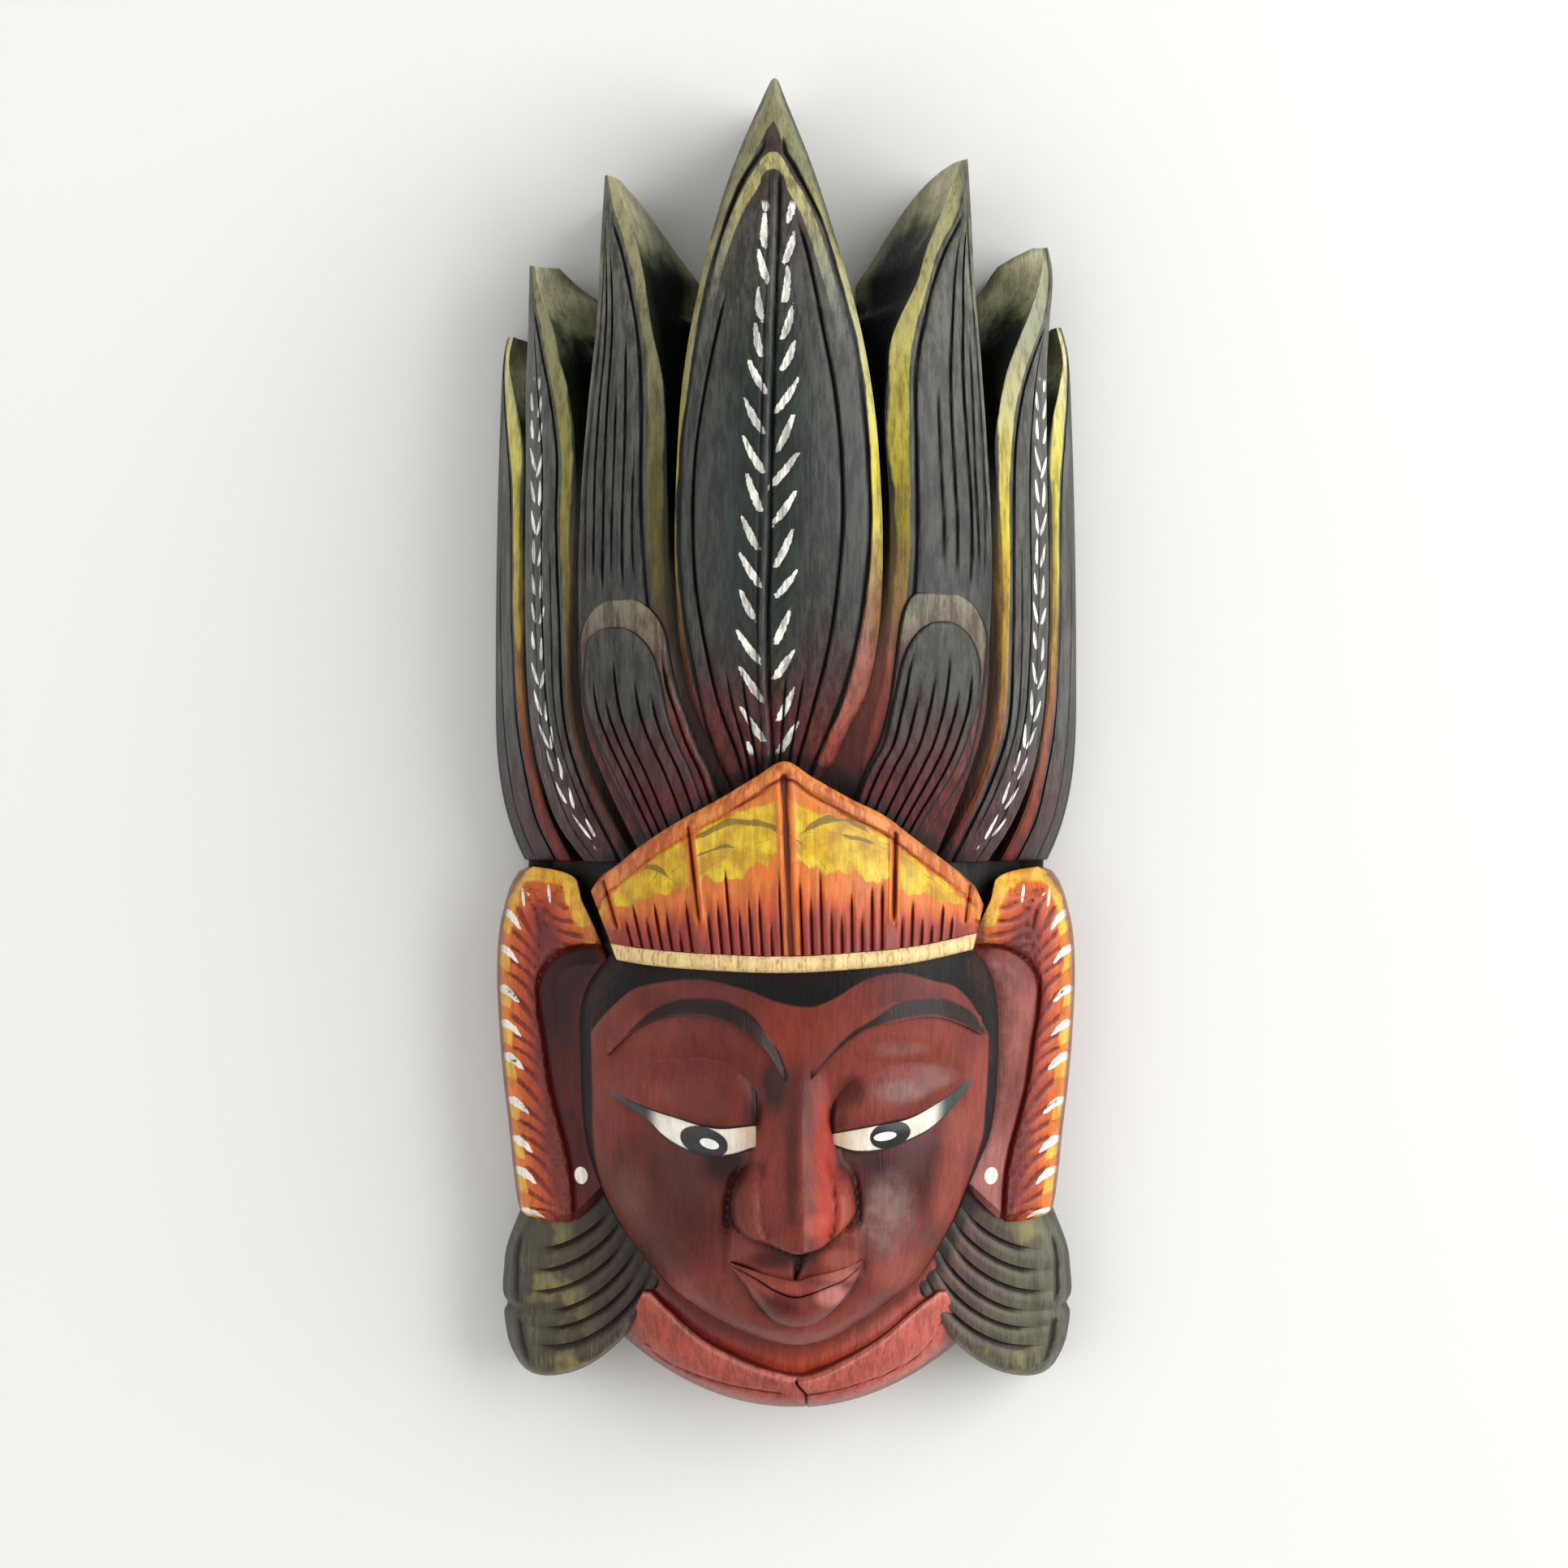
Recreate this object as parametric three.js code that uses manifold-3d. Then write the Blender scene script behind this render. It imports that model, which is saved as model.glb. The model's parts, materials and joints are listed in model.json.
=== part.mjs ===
// Carved wooden goddess mask: a wall mask cut from one half log, lying on its flat sawn back.
// Millimetres. X runs across the mask, Y along it to the crown's tip, and Z up out of the face.
// The origin is the middle of the back. Every form is a carved face over the plan, with walls that
// go straight down to the back; the forms are joined to one solid and the back is hollowed.
import * as THREE from "three";
import Module from "manifold-3d";

// Driving sizes
const HALF_LENGTH = 228.3; // tip of the crown and front of the collar, from the middle
const LOG_HALF_WIDTH = 103.4; // the log at its widest
const LOG_WIDEST_Y = 22;
const LOG_HEIGHT = 95; // the crown's front face above the back
const LOG_HIGHEST_Y = 80;
const FACE_TOP = -62; // the face runs on under the headband
const FACE_CHIN = -200.6;
const HOLLOW = { x: 66, y: 116, z: 46, middle: -70 }; // half axes of the hollowed back
const BELOW = -6; // walls are made longer than they end up, then sawn off at the back
const OVERLAP = 3; // how far a carved valley runs on inside the leaf beside it

const wasm = await Module();
wasm.setup();

// Helpers

const clamp = (x, low = 0, high = 1) => Math.min(high, Math.max(low, x));
const mix = (a, b, t) => a + (b - a) * t;
const ease = (t) => clamp(t) ** 2 * (3 - 2 * clamp(t));
// 1 inside low..high, falling to 0 over fade at both ends.
const between = (t, low, high, fade) =>
  ease((t - low) / fade + 1) * ease((high - t) / fade + 1);
// A round bump: 1 at the middle, 0 from distance 1 on.
const bump = (dx, dy = 0) => Math.max(0, 1 - dx * dx - dy * dy) ** 2;
const steps = (count, low = 0, high = 1) =>
  Array.from({ length: count + 1 }, (_, i) => low + ((high - low) * i) / count);

// A smooth curve through [position, value] pairs, level past its ends.
function curve(...pairs) {
  const slope = (i) => (pairs[i + 1][1] - pairs[i][1]) / (pairs[i + 1][0] - pairs[i][0]);
  const last = pairs.length - 1;
  const tangents = pairs.map((_, i) =>
    i === 0 ? slope(0) : i === last ? slope(last - 1) : (slope(i - 1) + slope(i)) / 2,
  );
  return (at) => {
    const x = clamp(at, pairs[0][0], pairs[last][0]);
    const i = Math.min(last - 1, Math.max(0, pairs.findIndex((p) => p[0] >= x) - 1));
    const span = pairs[i + 1][0] - pairs[i][0];
    const t = (x - pairs[i][0]) / span;
    const a = (1 + 2 * t) * (1 - t) ** 2 * pairs[i][1] + t * t * (3 - 2 * t) * pairs[i + 1][1];
    return a + span * t * (1 - t) * ((1 - t) * tangents[i] - t * tangents[i + 1]);
  };
}

// A closed body as a manifold-3d solid.
function solid(positions, triangles) {
  return new wasm.Manifold(
    new wasm.Mesh({
      numProp: 3,
      vertProperties: Float32Array.from(positions),
      triVerts: Uint32Array.from(triangles),
    }),
  );
}

// A closed solid under a carved face. point(u, v) is the face; below it stand straight walls.
function relief(us, vs, point) {
  const nu = us.length;
  const nv = vs.length;
  const face = vs.flatMap((v) => us.map((u) => point(u, v)));
  const foot = face.map(([x, y]) => [x, y, BELOW]);
  const [from, along, to] = [face[0], face[nu - 1], face[face.length - 1]];
  const turn = (along[0] - from[0]) * (to[1] - from[1]) - (along[1] - from[1]) * (to[0] - from[0]);
  const flip = turn < 0; // which way round the plan runs
  const triangles = [];
  const quad = (a, b, c, d) => {
    if (flip) [b, d] = [d, b];
    triangles.push(a, b, c, a, c, d);
  };
  const below = nu * nv;
  for (let j = 0; j < nv - 1; j++)
    for (let i = 0; i < nu - 1; i++) {
      const a = j * nu + i;
      quad(a, a + 1, a + 1 + nu, a + nu);
      quad(below + a, below + a + nu, below + a + 1 + nu, below + a + 1);
    }
  const wall = (a, b) => quad(below + a, below + b, b, a);
  for (let i = 0; i < nu - 1; i++) {
    wall(i, i + 1);
    wall((nv - 1) * nu + i + 1, (nv - 1) * nu + i);
  }
  for (let j = 0; j < nv - 1; j++) {
    wall((j + 1) * nu, j * nu);
    wall(j * nu + nu - 1, (j + 1) * nu + nu - 1);
  }
  return solid([...face, ...foot].flat(), triangles);
}

// Column positions that follow a row of cut lines: each line has a bottom and two shoulders.
function columns(lines, half, fill) {
  const marks = [...fill];
  for (const s of lines) marks.push(s - half, s, s + half);
  return [...new Set(marks.map((s) => Number(s.toFixed(4))))].sort((a, b) => a - b);
}
// How far a V cut reaches down at s: 1 on a line, 0 from its shoulders on.
const cut = (s, lines, half) =>
  Math.max(0, ...lines.map((line) => 1 - Math.abs(s - line) / half));

// The log

const logHalfWidth = (y) =>
  y < LOG_WIDEST_Y
    ? LOG_HALF_WIDTH - 10.4 * ((LOG_WIDEST_Y - y) / 60.5) ** 3
    : LOG_HALF_WIDTH - 2.1 * ((y - LOG_WIDEST_Y) / 108) ** 2;
const logTop = (y) =>
  y < LOG_HIGHEST_Y
    ? LOG_HEIGHT - 8 * ((LOG_HIGHEST_Y - y) / 80) ** 2
    : LOG_HEIGHT - 35 * ((y - LOG_HIGHEST_Y) / 150) ** 2;
const logFace = (x, y) => logTop(y) * Math.sqrt(Math.max(0, 1 - (x / logHalfWidth(y)) ** 2));
const angleAt = (x, y) => Math.asin(clamp(x / logHalfWidth(y), -1, 1));

// The middle leaf of the crown: a lens with a bevelled border, an inner leaf cut in, and a midrib

const MIDDLE = {
  bottom: -26,
  left: curve(
    [-26, -15], [-5, -24], [15, -31.5], [33, -35.2], [60, -37], [90, -36.7],
    [128, -34], [165, -27], [195, -18.7], [222, -8], [HALF_LENGTH, -5.2],
  ),
  right: curve(
    [-26, 2], [0, 14.5], [20, 23.3], [40, 28], [66, 31.2], [87, 31.4], [114, 29.5],
    [142, 24.7], [170, 17.2], [198, 8.6], [220, 0.4], [HALF_LENGTH, -2.6],
  ),
  inner: curve(
    [-26, 0.5], [20, 0.7], [60, 0.78], [120, 0.76], [150, 0.69], [175, 0.55], [190, 0.33],
    [199, 0.06],
  ),
  proud: curve([-26, -4], [0, -0.5], [40, 3.6], [90, 5]),
  lens: curve([-26, 1], [0, 1.5], [60, 4], [90, 4]),
  border: 3.2,
  borderDrop: 3.6,
  lineDepth: 1.7,
};

function middleLeaf() {
  const borderLine = 0.9;
  const half = 0.035;
  const us = columns([-borderLine, borderLine, -0.5, 0.5, 0], half, [-1, 1]);
  // Columns -0.5 and 0.5 stand for the inner leaf's outline, wherever that is at this height.
  const stretch = (u, inner) => {
    const size = Math.abs(u);
    const outer = size < 0.5 ? (size / 0.5) * inner : mix(inner, borderLine, (size - 0.5) / 0.4);
    return Math.sign(u) * (size > borderLine ? size : outer);
  };
  return relief(us, steps(24), (u, v) => {
    const y = mix(MIDDLE.bottom, HALF_LENGTH, v ** 0.92);
    const inner = Math.max(0.06, MIDDLE.inner(y));
    const s = stretch(u, inner);
    const x = mix(MIDDLE.left(y), MIDDLE.right(y), (s + 1) / 2);
    const halfWidth = (MIDDLE.right(y) - MIDDLE.left(y)) / 2;
    const fromEdge = (1 - Math.abs(s)) * halfWidth;
    const bevel = MIDDLE.borderDrop * (1 - clamp(fromEdge / MIDDLE.border));
    const lines = cut(u, [-borderLine, borderLine, -0.5, 0.5], half) * between(y, -40, 196, 8);
    const rib = cut(u, [0], half) * between(y, 0, 186, 10);
    const z = logFace(x, y) + MIDDLE.proud(y) + MIDDLE.lens(y) * (1 - s * s);
    return [x, y, z - bevel - MIDDLE.lineDepth * (lines + rib)];
  });
}

// The side leaves: a face cut with lines between a straight outer edge and a curved crest, a bevel
// inside the crest, and a valley that falls from it towards the next leaf. x is away from the middle.

const SIDE_LEAVES = [
  {
    side: -1, tip: 196.5, proud: 1.5, lines: [0.2, 0.48, 0.76], rows: 16,
    outer: curve(
      [-38, 48], [-10, 61.5], [7, 68], [45, 70.3], [84, 69.5], [117, 67], [144, 64.3], [173, 63],
      [196.5, 61.9],
    ),
    crest: curve(
      [-38, 30], [20, 39], [50, 43.8], [77, 45.8], [121, 46], [138, 47.1], [155, 50], [169, 53.2],
      [181, 57], [196.5, 60.8],
    ),
    rim: curve(
      [-38, 25], [20, 35], [50, 38.6], [88, 39.7], [121, 41], [143, 45.2], [157, 47.5],
      [171.5, 50.4], [182, 53.4], [196.5, 59.4],
    ),
    gapFrom: 150,
    top: curve([165.8, 30.6], [173.3, 36.7], [186.5, 47.5], [192.3, 52.8], [196.5, 57.2]),
    beside: (y) => -MIDDLE.left(y),
    floor: curve([-38, 77], [50, 86], [90, 76], [117, 60], [135, 40], [150, 24], [166, 12], [196.5, 50]),
  },
  {
    side: 1, tip: 202.4, proud: 1.5, lines: [0.2, 0.48, 0.76], rows: 16,
    outer: curve(
      [-38, 50], [7, 66.5], [40, 69], [67, 69.6], [106, 67.8], [133, 66], [161, 64], [184, 63],
      [202.4, 62.2],
    ),
    crest: curve(
      [-38, 26], [20, 33], [61, 37.7], [99, 40.7], [129.5, 41], [143.5, 43.6], [157, 46.9],
      [169, 51.2], [181, 57], [202.4, 61.4],
    ),
    rim: curve(
      [-38, 20], [20, 29], [77, 34.6], [112, 32.9], [126, 34], [137, 35.2], [146, 38.6],
      [157, 43.7], [172, 48.5], [183, 52.9], [202.4, 60],
    ),
    gapFrom: 150,
    top: curve(
      [165.8, 24.9], [173.5, 30.5], [183.8, 37.4], [193.6, 45.6], [199.3, 52.3], [202.4, 57.6],
    ),
    beside: (y) => MIDDLE.right(y),
    floor: curve([-38, 77], [50, 86], [90, 76], [117, 60], [135, 40], [150, 24], [166, 12], [202.4, 50]),
  },
  {
    side: -1, tip: 168.6, proud: 0.5, lines: [0.18, 0.42, 0.72], rows: 14,
    outer: curve(
      [-38, 69], [-26, 78], [-10, 84], [7, 87.7], [35, 89.7], [100, 89.8], [125, 90], [148, 89.3],
      [168.6, 89.1],
    ),
    crest: curve(
      [-38, 54], [-12, 67], [7, 73], [45, 75.2], [79, 76.4], [101, 76.1], [123, 79.2], [134, 81.6],
      [147, 84.3], [163, 87.6], [168.6, 88.4],
    ),
    rim: curve(
      [-38, 51], [-12, 64.5], [7, 70.8], [45, 72.8], [106, 71.9], [123, 74.4], [134, 77.3],
      [146.5, 80.5], [163, 86.2], [168.6, 87.3],
    ),
    gapFrom: 146,
    top: curve([158, 63], [160.9, 68.3], [164.1, 73.6], [168.6, 79]),
    beside: (y) => SIDE_LEAVES[0].outer(y),
    floor: curve([-38, 60], [95, 64], [106, 58], [120, 42], [140, 22], [158, 11], [168.6, 32]),
  },
  {
    side: 1, tip: 175.6, proud: 0.5, lines: [0.18, 0.42, 0.72], rows: 14,
    outer: curve(
      [-38, 69], [-26, 77], [-10, 84], [7, 88], [35, 90.3], [108, 90.1], [134, 90.4], [148, 91.5],
      [168, 93], [175.6, 91.4],
    ),
    crest: curve(
      [-38, 54], [-12, 67], [7, 73.5], [35, 75.2], [84, 75.5], [101, 76], [112, 77.2], [124, 79.6],
      [136, 83.6], [148, 88.3], [163, 91.4], [175.6, 90.4],
    ),
    rim: curve(
      [-38, 51], [-12, 65], [7, 70.5], [34, 72.6], [89, 71.5], [106, 71], [117, 72.7], [129, 75.2],
      [141, 79.8], [152, 84.4], [166.6, 89], [175.6, 89.4],
    ),
    gapFrom: 146,
    top: curve([158, 64], [163.2, 69.3], [171.3, 75.9], [174.1, 82.6], [175.6, 86]),
    beside: (y) => SIDE_LEAVES[1].outer(y),
    floor: curve([-38, 60], [95, 64], [106, 58], [120, 42], [140, 22], [158, 11], [175.6, 33]),
  },
  ...[-1, 1].map((side) => ({
    side, tip: side < 0 ? 145.5 : 148.5, proud: 0, lines: [0.35, 0.7], rows: 11,
    outerAngle: curve([-38, 90], [124, 90], [133, 87], [140, 82], [145.5, 77], [148.5, 74]),
    crest: curve(
      [-38, 78], [-24, 85], [-9, 88.7], [7, 91.7], [41, 94.1], [92, 94.9], [109, 96.6], [126, 98.5],
      [138, 98.8], [145.5, 97], [148.5, 95.6],
    ),
    rim: curve(
      [-38, 74], [-24, 81], [-9, 86], [7, 89], [41, 91.3], [92, 91], [102, 90.8], [114, 92.4],
      [126, 95.3], [138, 97.4], [148.5, 94.6],
    ),
    gapFrom: 136,
    top: curve([140, 88], [146, 91], [148.5, 93]),
    beside: (y) => SIDE_LEAVES[side < 0 ? 2 : 3].outer(y),
    floor: curve([-38, 38], [102, 44], [115, 30], [130, 16], [146, 10], [148.5, 22]),
  })),
];

function sideLeaf(leaf) {
  const half = 0.045;
  const lines = leaf.lines;
  // Columns 0 to 1 are the face from outer edge to crest, 1 to 2 the bevel, and 2 to 3 the valley.
  const us = [...columns(lines, half, [0, 1]), 2, 2.5, 3];
  const lensHeight = 1.6;
  const bevelDrop = 2.4;
  const lineDepth = 1.4;
  return relief(us, steps(leaf.rows), (u, v) => {
    const y = mix(-38, leaf.tip, v ** 0.9);
    const outer = leaf.outerAngle
      ? THREE.MathUtils.degToRad(leaf.outerAngle(y))
      : angleAt(leaf.outer(y), y);
    const crest = Math.min(outer - 0.004, angleAt(leaf.crest(y), y));
    const crestX = logHalfWidth(y) * Math.sin(crest);
    const crestZ = logFace(crestX, y) + leaf.proud;
    const rimX = Math.min(leaf.rim(y), crestX - 0.4);
    const rimZ = logFace(rimX, y) + leaf.proud - bevelDrop;
    if (u <= 1) {
      const x = logHalfWidth(y) * Math.sin(mix(outer, crest, u));
      const lens = lensHeight * 4 * u * (1 - u);
      const fade = between(y, -60, leaf.tip - 14, 12);
      const z = logFace(x, y) + leaf.proud + lens - lineDepth * fade * cut(u, lines, half);
      return [leaf.side * x, y, z];
    }
    if (u <= 2) return [leaf.side * mix(crestX, rimX, u - 1), y, mix(crestZ, rimZ, u - 1)];
    const inside = leaf.beside(y) - OVERLAP;
    const end = Math.min(rimX - 0.6, y < leaf.gapFrom ? inside : Math.max(leaf.top(y), inside));
    const low = Math.min(rimZ - 0.5, leaf.floor(y));
    const t = u - 2;
    return [leaf.side * mix(rimX, end, t), y, mix(rimZ, low, t ** 0.85)];
  });
}

// The round bud leaves at the foot of the crown: an arched band with a longer leaf raised inside it

const BUDS = [
  {
    side: -1,
    band: {
      top: 50.5, spring: 30, proud: 2.4,
      outer: curve([-45, 40], [-23, 52.5], [-8, 59.8], [2, 65.7], [20, 69.2], [30, 70.6], [50, 70]),
      inner: curve([-45, 16], [-10, 22.6], [0, 26.6], [12, 32], [23, 36.2], [36, 40.2], [50, 41]),
    },
    leaf: {
      top: 40.5, spring: 22, proud: 4,
      outer: curve([-45, 40], [-22, 51.5], [-9, 59], [0, 64], [13, 67], [25, 68.2], [40, 67.5]),
      inner: curve([-45, 18], [-15, 29.4], [-3, 34.8], [9, 38.6], [16, 40.2], [27, 43], [40, 43.5]),
    },
  },
  {
    side: 1,
    band: {
      top: 52.5, spring: 32, proud: 2.4,
      outer: curve([-45, 38], [-23, 51.5], [-8, 58.5], [2, 63.6], [20, 67.4], [32, 68.6], [52, 68]),
      inner: curve([-45, 6], [-10, 14], [0, 19], [12, 25.5], [23, 31], [36, 35.8], [52, 37]),
    },
    leaf: {
      top: 43.3, spring: 25, proud: 4,
      outer: curve([-45, 38], [-22, 50], [-9, 57], [0, 61.6], [13, 64.6], [25, 65.8], [42, 65.2]),
      inner: curve([-45, 10], [-15, 22], [-3, 27.6], [9, 32.2], [18, 35.4], [28, 37.8], [42, 38.4]),
    },
  },
];

// One arched form on the log: straight cuts run up it and fade out below the top.
function arched(side, form, cuts, rows) {
  const half = 0.035;
  const bottom = -45;
  const us = columns(cuts, half, [0, 0.06, 0.94, 1]);
  return relief(us, steps(rows), (u, v) => {
    const y = mix(bottom, form.top, Math.sin((v * Math.PI) / 2) ** 0.9);
    const rise = clamp((y - form.spring) / (form.top - form.spring));
    const arch = Math.sqrt(Math.max(0.01, 1 - rise ** 2));
    const middle = (form.outer(y) + form.inner(y)) / 2;
    const x = middle + ((form.outer(y) - form.inner(y)) / 2) * arch * (2 * u - 1);
    const edge = 1.6 * Math.max(1 - Math.min(u, 1 - u) / 0.06, ease((y - form.top + 2) / 2), 0);
    const grooves = 1.3 * cut(u, cuts, half) * between(y, -60, form.top - 26, 14);
    return [side * x, y, logFace(x, y) + form.proud - edge - grooves];
  });
}

// The headband: a tall gable over the brow, with ribs, fluting below and a roll along the bottom

const BAND = {
  gable: curve(
    [-66.8, -47.7], [-63.7, -43.3], [-57.6, -38.9], [-50.2, -32.9], [-37.6, -24.6], [-21.3, -15.6],
    [-10.5, -9.1], [-0.3, -3.7], [8.5, -8.8], [22, -16.4], [32.9, -21.8], [43.8, -30],
    [55.1, -38.3], [62, -43.8], [66.2, -48.3], [67.6, -52.4],
  ),
  brow: curve([-57.1, -70.7], [-46, -72], [-29, -73], [0, -73.8], [25, -72.6], [41, -71.3], [63.4, -67.5]),
  height: 99,
  halfWidth: 86,
  setBack: 5,
  ribs: [0.045, 0.25, 0.49, 0.77, 0.95],
  flutes: 11,
};

function headband() {
  const { ribs } = BAND;
  const clear = (s) => ribs.every((rib) => Math.abs(s - rib) > 0.03);
  const flutes = steps(BAND.flutes - 1, 0.09, 0.92).filter(clear);
  const half = 0.012;
  const us = columns([...flutes, ...ribs], half, [0, 1]);
  return relief(us, [0, 0.07, 0.075, 0.35, 0.62, 0.96, 1], (u, v) => {
    const x0 = mix(-57.1, 63.4, u);
    const x1 = mix(-66.8, 67.6, u);
    const x = mix(x0, x1, v);
    const y = mix(BAND.brow(x0), BAND.gable(x1), v);
    const bow = BAND.height * Math.sqrt(1 - (x / BAND.halfWidth) ** 2);
    const roll = v < 0.072 ? 1.6 : 0;
    const flute = v > 0.072 ? 1.3 * cut(u, flutes, half) * ease((0.62 - v) / 0.25) : 0;
    const rib = v > 0.072 ? 1.5 * cut(u, ribs, half) * ease((0.99 - v) / 0.02) : 0;
    return [x, y, bow - BAND.setBack * v + roll - flute - rib - 1.4 * ease((v - 0.96) / 0.04)];
  });
}

// The face: an egg with brow ledges, lidded eyes, a nose and a raised mouth set on it

const FACE = {
  left: curve(
    [-201, -4], [-198, -19], [-193, -31], [-186, -41.5], [-171, -54], [-152, -62.5], [-132, -68],
    [-105, -70], [-84, -69.5], [-74, -64], [-62, -52],
  ),
  right: curve(
    [-201, 10], [-198, 23], [-191, 36.5], [-178, 49], [-163, 58], [-146, 65.5], [-132, 70],
    [-113, 72.5], [-84, 72], [-72, 68], [-62, 58],
  ),
  middle: (y) => 1 + ((-72 - y) * 4) / 131, // the face leans a little
  edge: curve([-201, 64], [-185, 56], [-160, 51], [-120, 52], [-75, 57], [-62, 66]),
  crown: curve(
    [-201, 71], [-194, 78], [-180, 82], [-160, 84], [-130, 84], [-105, 87], [-80, 91], [-62, 92],
  ),
};

// The plain egg of the face under its features.
function egg(x, y) {
  const middle = FACE.middle(y);
  const half = x < middle ? middle - FACE.left(y) : FACE.right(y) - middle;
  const u = clamp(Math.abs(x - middle) / half);
  const socket = Math.abs(Math.abs(x - 3.5) - 34) / 26;
  return mix(FACE.edge(y), FACE.crown(y), (1 - u ** 2.4) ** 0.75) - 3 * bump(socket, (y + 112) / 17);
}

function skull() {
  const us = steps(18, -1, 1).map((s) => Math.sin((s * Math.PI) / 2) * 0.6 + s * 0.4);
  return relief(us, steps(16), (u, v) => {
    const y = FACE_CHIN + (FACE_TOP - FACE_CHIN) * (v * 0.55 + 0.45 * v ** 2);
    const middle = FACE.middle(y);
    const x = middle + u * (u < 0 ? middle - FACE.left(y) : FACE.right(y) - middle);
    return [x, y, egg(x, y)];
  });
}

// A form set on the face between two lines across it. lift(v, x) is its height over the egg.
const setOn = (xs, vs, low, high, lift) =>
  relief(xs, vs, (x, v) => {
    const y = mix(low(x), high(x), v);
    return [x, y, egg(x, y) + lift(v, x)];
  });

// Each eye lies between these lines. Each brow ledge is cut straight down to the socket.
const EYES = [
  {
    from: -61, to: -11,
    crease: curve([-61, -114], [-46, -104.5], [-35, -102.8], [-24, -102.7], [-17, -105.2], [-11, -112]),
    lid: curve([-61, -115], [-45.6, -121], [-37.8, -123.2], [-24, -126.6], [-11, -125.8]),
    lower: curve(
      [-61, -115.6], [-46, -125.3], [-41.9, -129.4], [-33.7, -134.1], [-20.8, -136.1], [-11, -133.5],
    ),
    browFrom: -61, browTo: -0.5,
    brow: curve(
      [-61, -103.6], [-51.8, -94.8], [-43.4, -90.3], [-32.3, -88.6], [-21.3, -90.2], [-13.2, -94.3],
      [-6.4, -100.5], [-0.5, -110.6],
    ),
  },
  {
    from: 15.5, to: 64.7,
    crease: curve(
      [15.5, -117], [19.4, -111.4], [27.5, -106.8], [38.4, -104.1], [49.6, -104.6], [64.7, -109.2],
    ),
    lid: curve([15.5, -128.4], [29.7, -125.8], [41.6, -123.6], [51, -119], [64.7, -110]),
    lower: curve(
      [15.5, -132], [22.1, -134.5], [30.2, -134.5], [39.7, -131.8], [51, -125.9], [64.7, -110.6],
    ),
    browFrom: 8.5, browTo: 66.6,
    brow: curve(
      [8.5, -110], [19.4, -98.6], [27.5, -93.2], [38.5, -90.5], [49.6, -89.5], [59.5, -92.6],
      [66.6, -96.5],
    ),
  },
];

function eyeForms(eye) {
  const across = (x) => (x - eye.from) / (eye.to - eye.from);
  const round = (x) => Math.sin(clamp(across(x)) * Math.PI) ** 0.6;
  const xs = steps(9, eye.from, eye.to);
  const lid = setOn(xs, [0, 0.08, 0.35, 0.7, 1], eye.lid, eye.crease, (v, x) =>
    round(x) * (v < 0.05 ? 3.6 : 4 + 3.6 * Math.sin(v * Math.PI) - 3.8 * v) - 0.6 - v * 0.6);
  const white = setOn(xs, [0, 0.5, 1], eye.lower, eye.crease, (v, x) => (2 + 1.5 * v) * round(x));
  const ledge = setOn(
    steps(10, eye.browFrom, eye.browTo), [0, 1], eye.brow, (x) => eye.brow(x) + 8,
    (v) => mix(1.9, -0.6, v),
  );
  return [lid, white, ledge];
}

const NOSE = {
  root: -108,
  tipY: -165.6,
  bottom: -168.4,
  ridge: (y) => 4.5 + ((-110 - y) / 56) * 1.2,
  left: curve([-168.4, 15], [-163, 22], [-155, 23], [-146, 20], [-138, 13.5], [-125, 10.5], [-108, 9]),
  right: curve(
    [-168.4, 12], [-163, 16.5], [-155, 18.2], [-146, 16.5], [-138, 13.5], [-125, 10.5], [-108, 9],
  ),
};

function nose() {
  const us = [-1, -0.88, -0.72, -0.5, -0.2, 0, 0.2, 0.5, 0.72, 0.88, 1];
  const vs = [0, 0.05, 0.1, 0.2, 0.32, 0.44, 0.58, 0.72, 0.86, 1];
  // From the root to the tip along the bridge, then straight down the underside.
  return relief(us, vs, (u, v) => {
    const y = mix(NOSE.bottom, NOSE.root, v);
    const x = NOSE.ridge(y) + u * (u < 0 ? NOSE.left(y) : NOSE.right(y));
    const along = clamp((NOSE.root - y) / (NOSE.root - NOSE.tipY));
    const ridge = mix(1.5, 23, along ** 1.25);
    const wing = 10.5 * bump((Math.abs(u) - 0.74) / 0.36, (y + 155) / 16) ** 0.7;
    const side = ridge * (1 - clamp(Math.abs(u) / mix(0.95, 0.72, along ** 3)) ** 1.6);
    const under = y < NOSE.tipY ? 0.25 : 1;
    return [x, y, egg(x, y) - 0.8 + Math.max(side, wing) * under];
  });
}

const MOUTH = {
  top: curve([-19.4, -172.6], [-12, -174.6], [-5, -177], [3.5, -178.6], [10, -177.6], [24.8, -173.2]),
  line: curve([-19.4, -174], [-8, -179.2], [3.9, -184.4], [14, -181.6], [24.8, -174.6]),
  lower: curve([-19.4, -175.6], [-12, -184], [-6.5, -188.6], [4.5, -193.8], [14, -188.6], [24.8, -176.4]),
};

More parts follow.
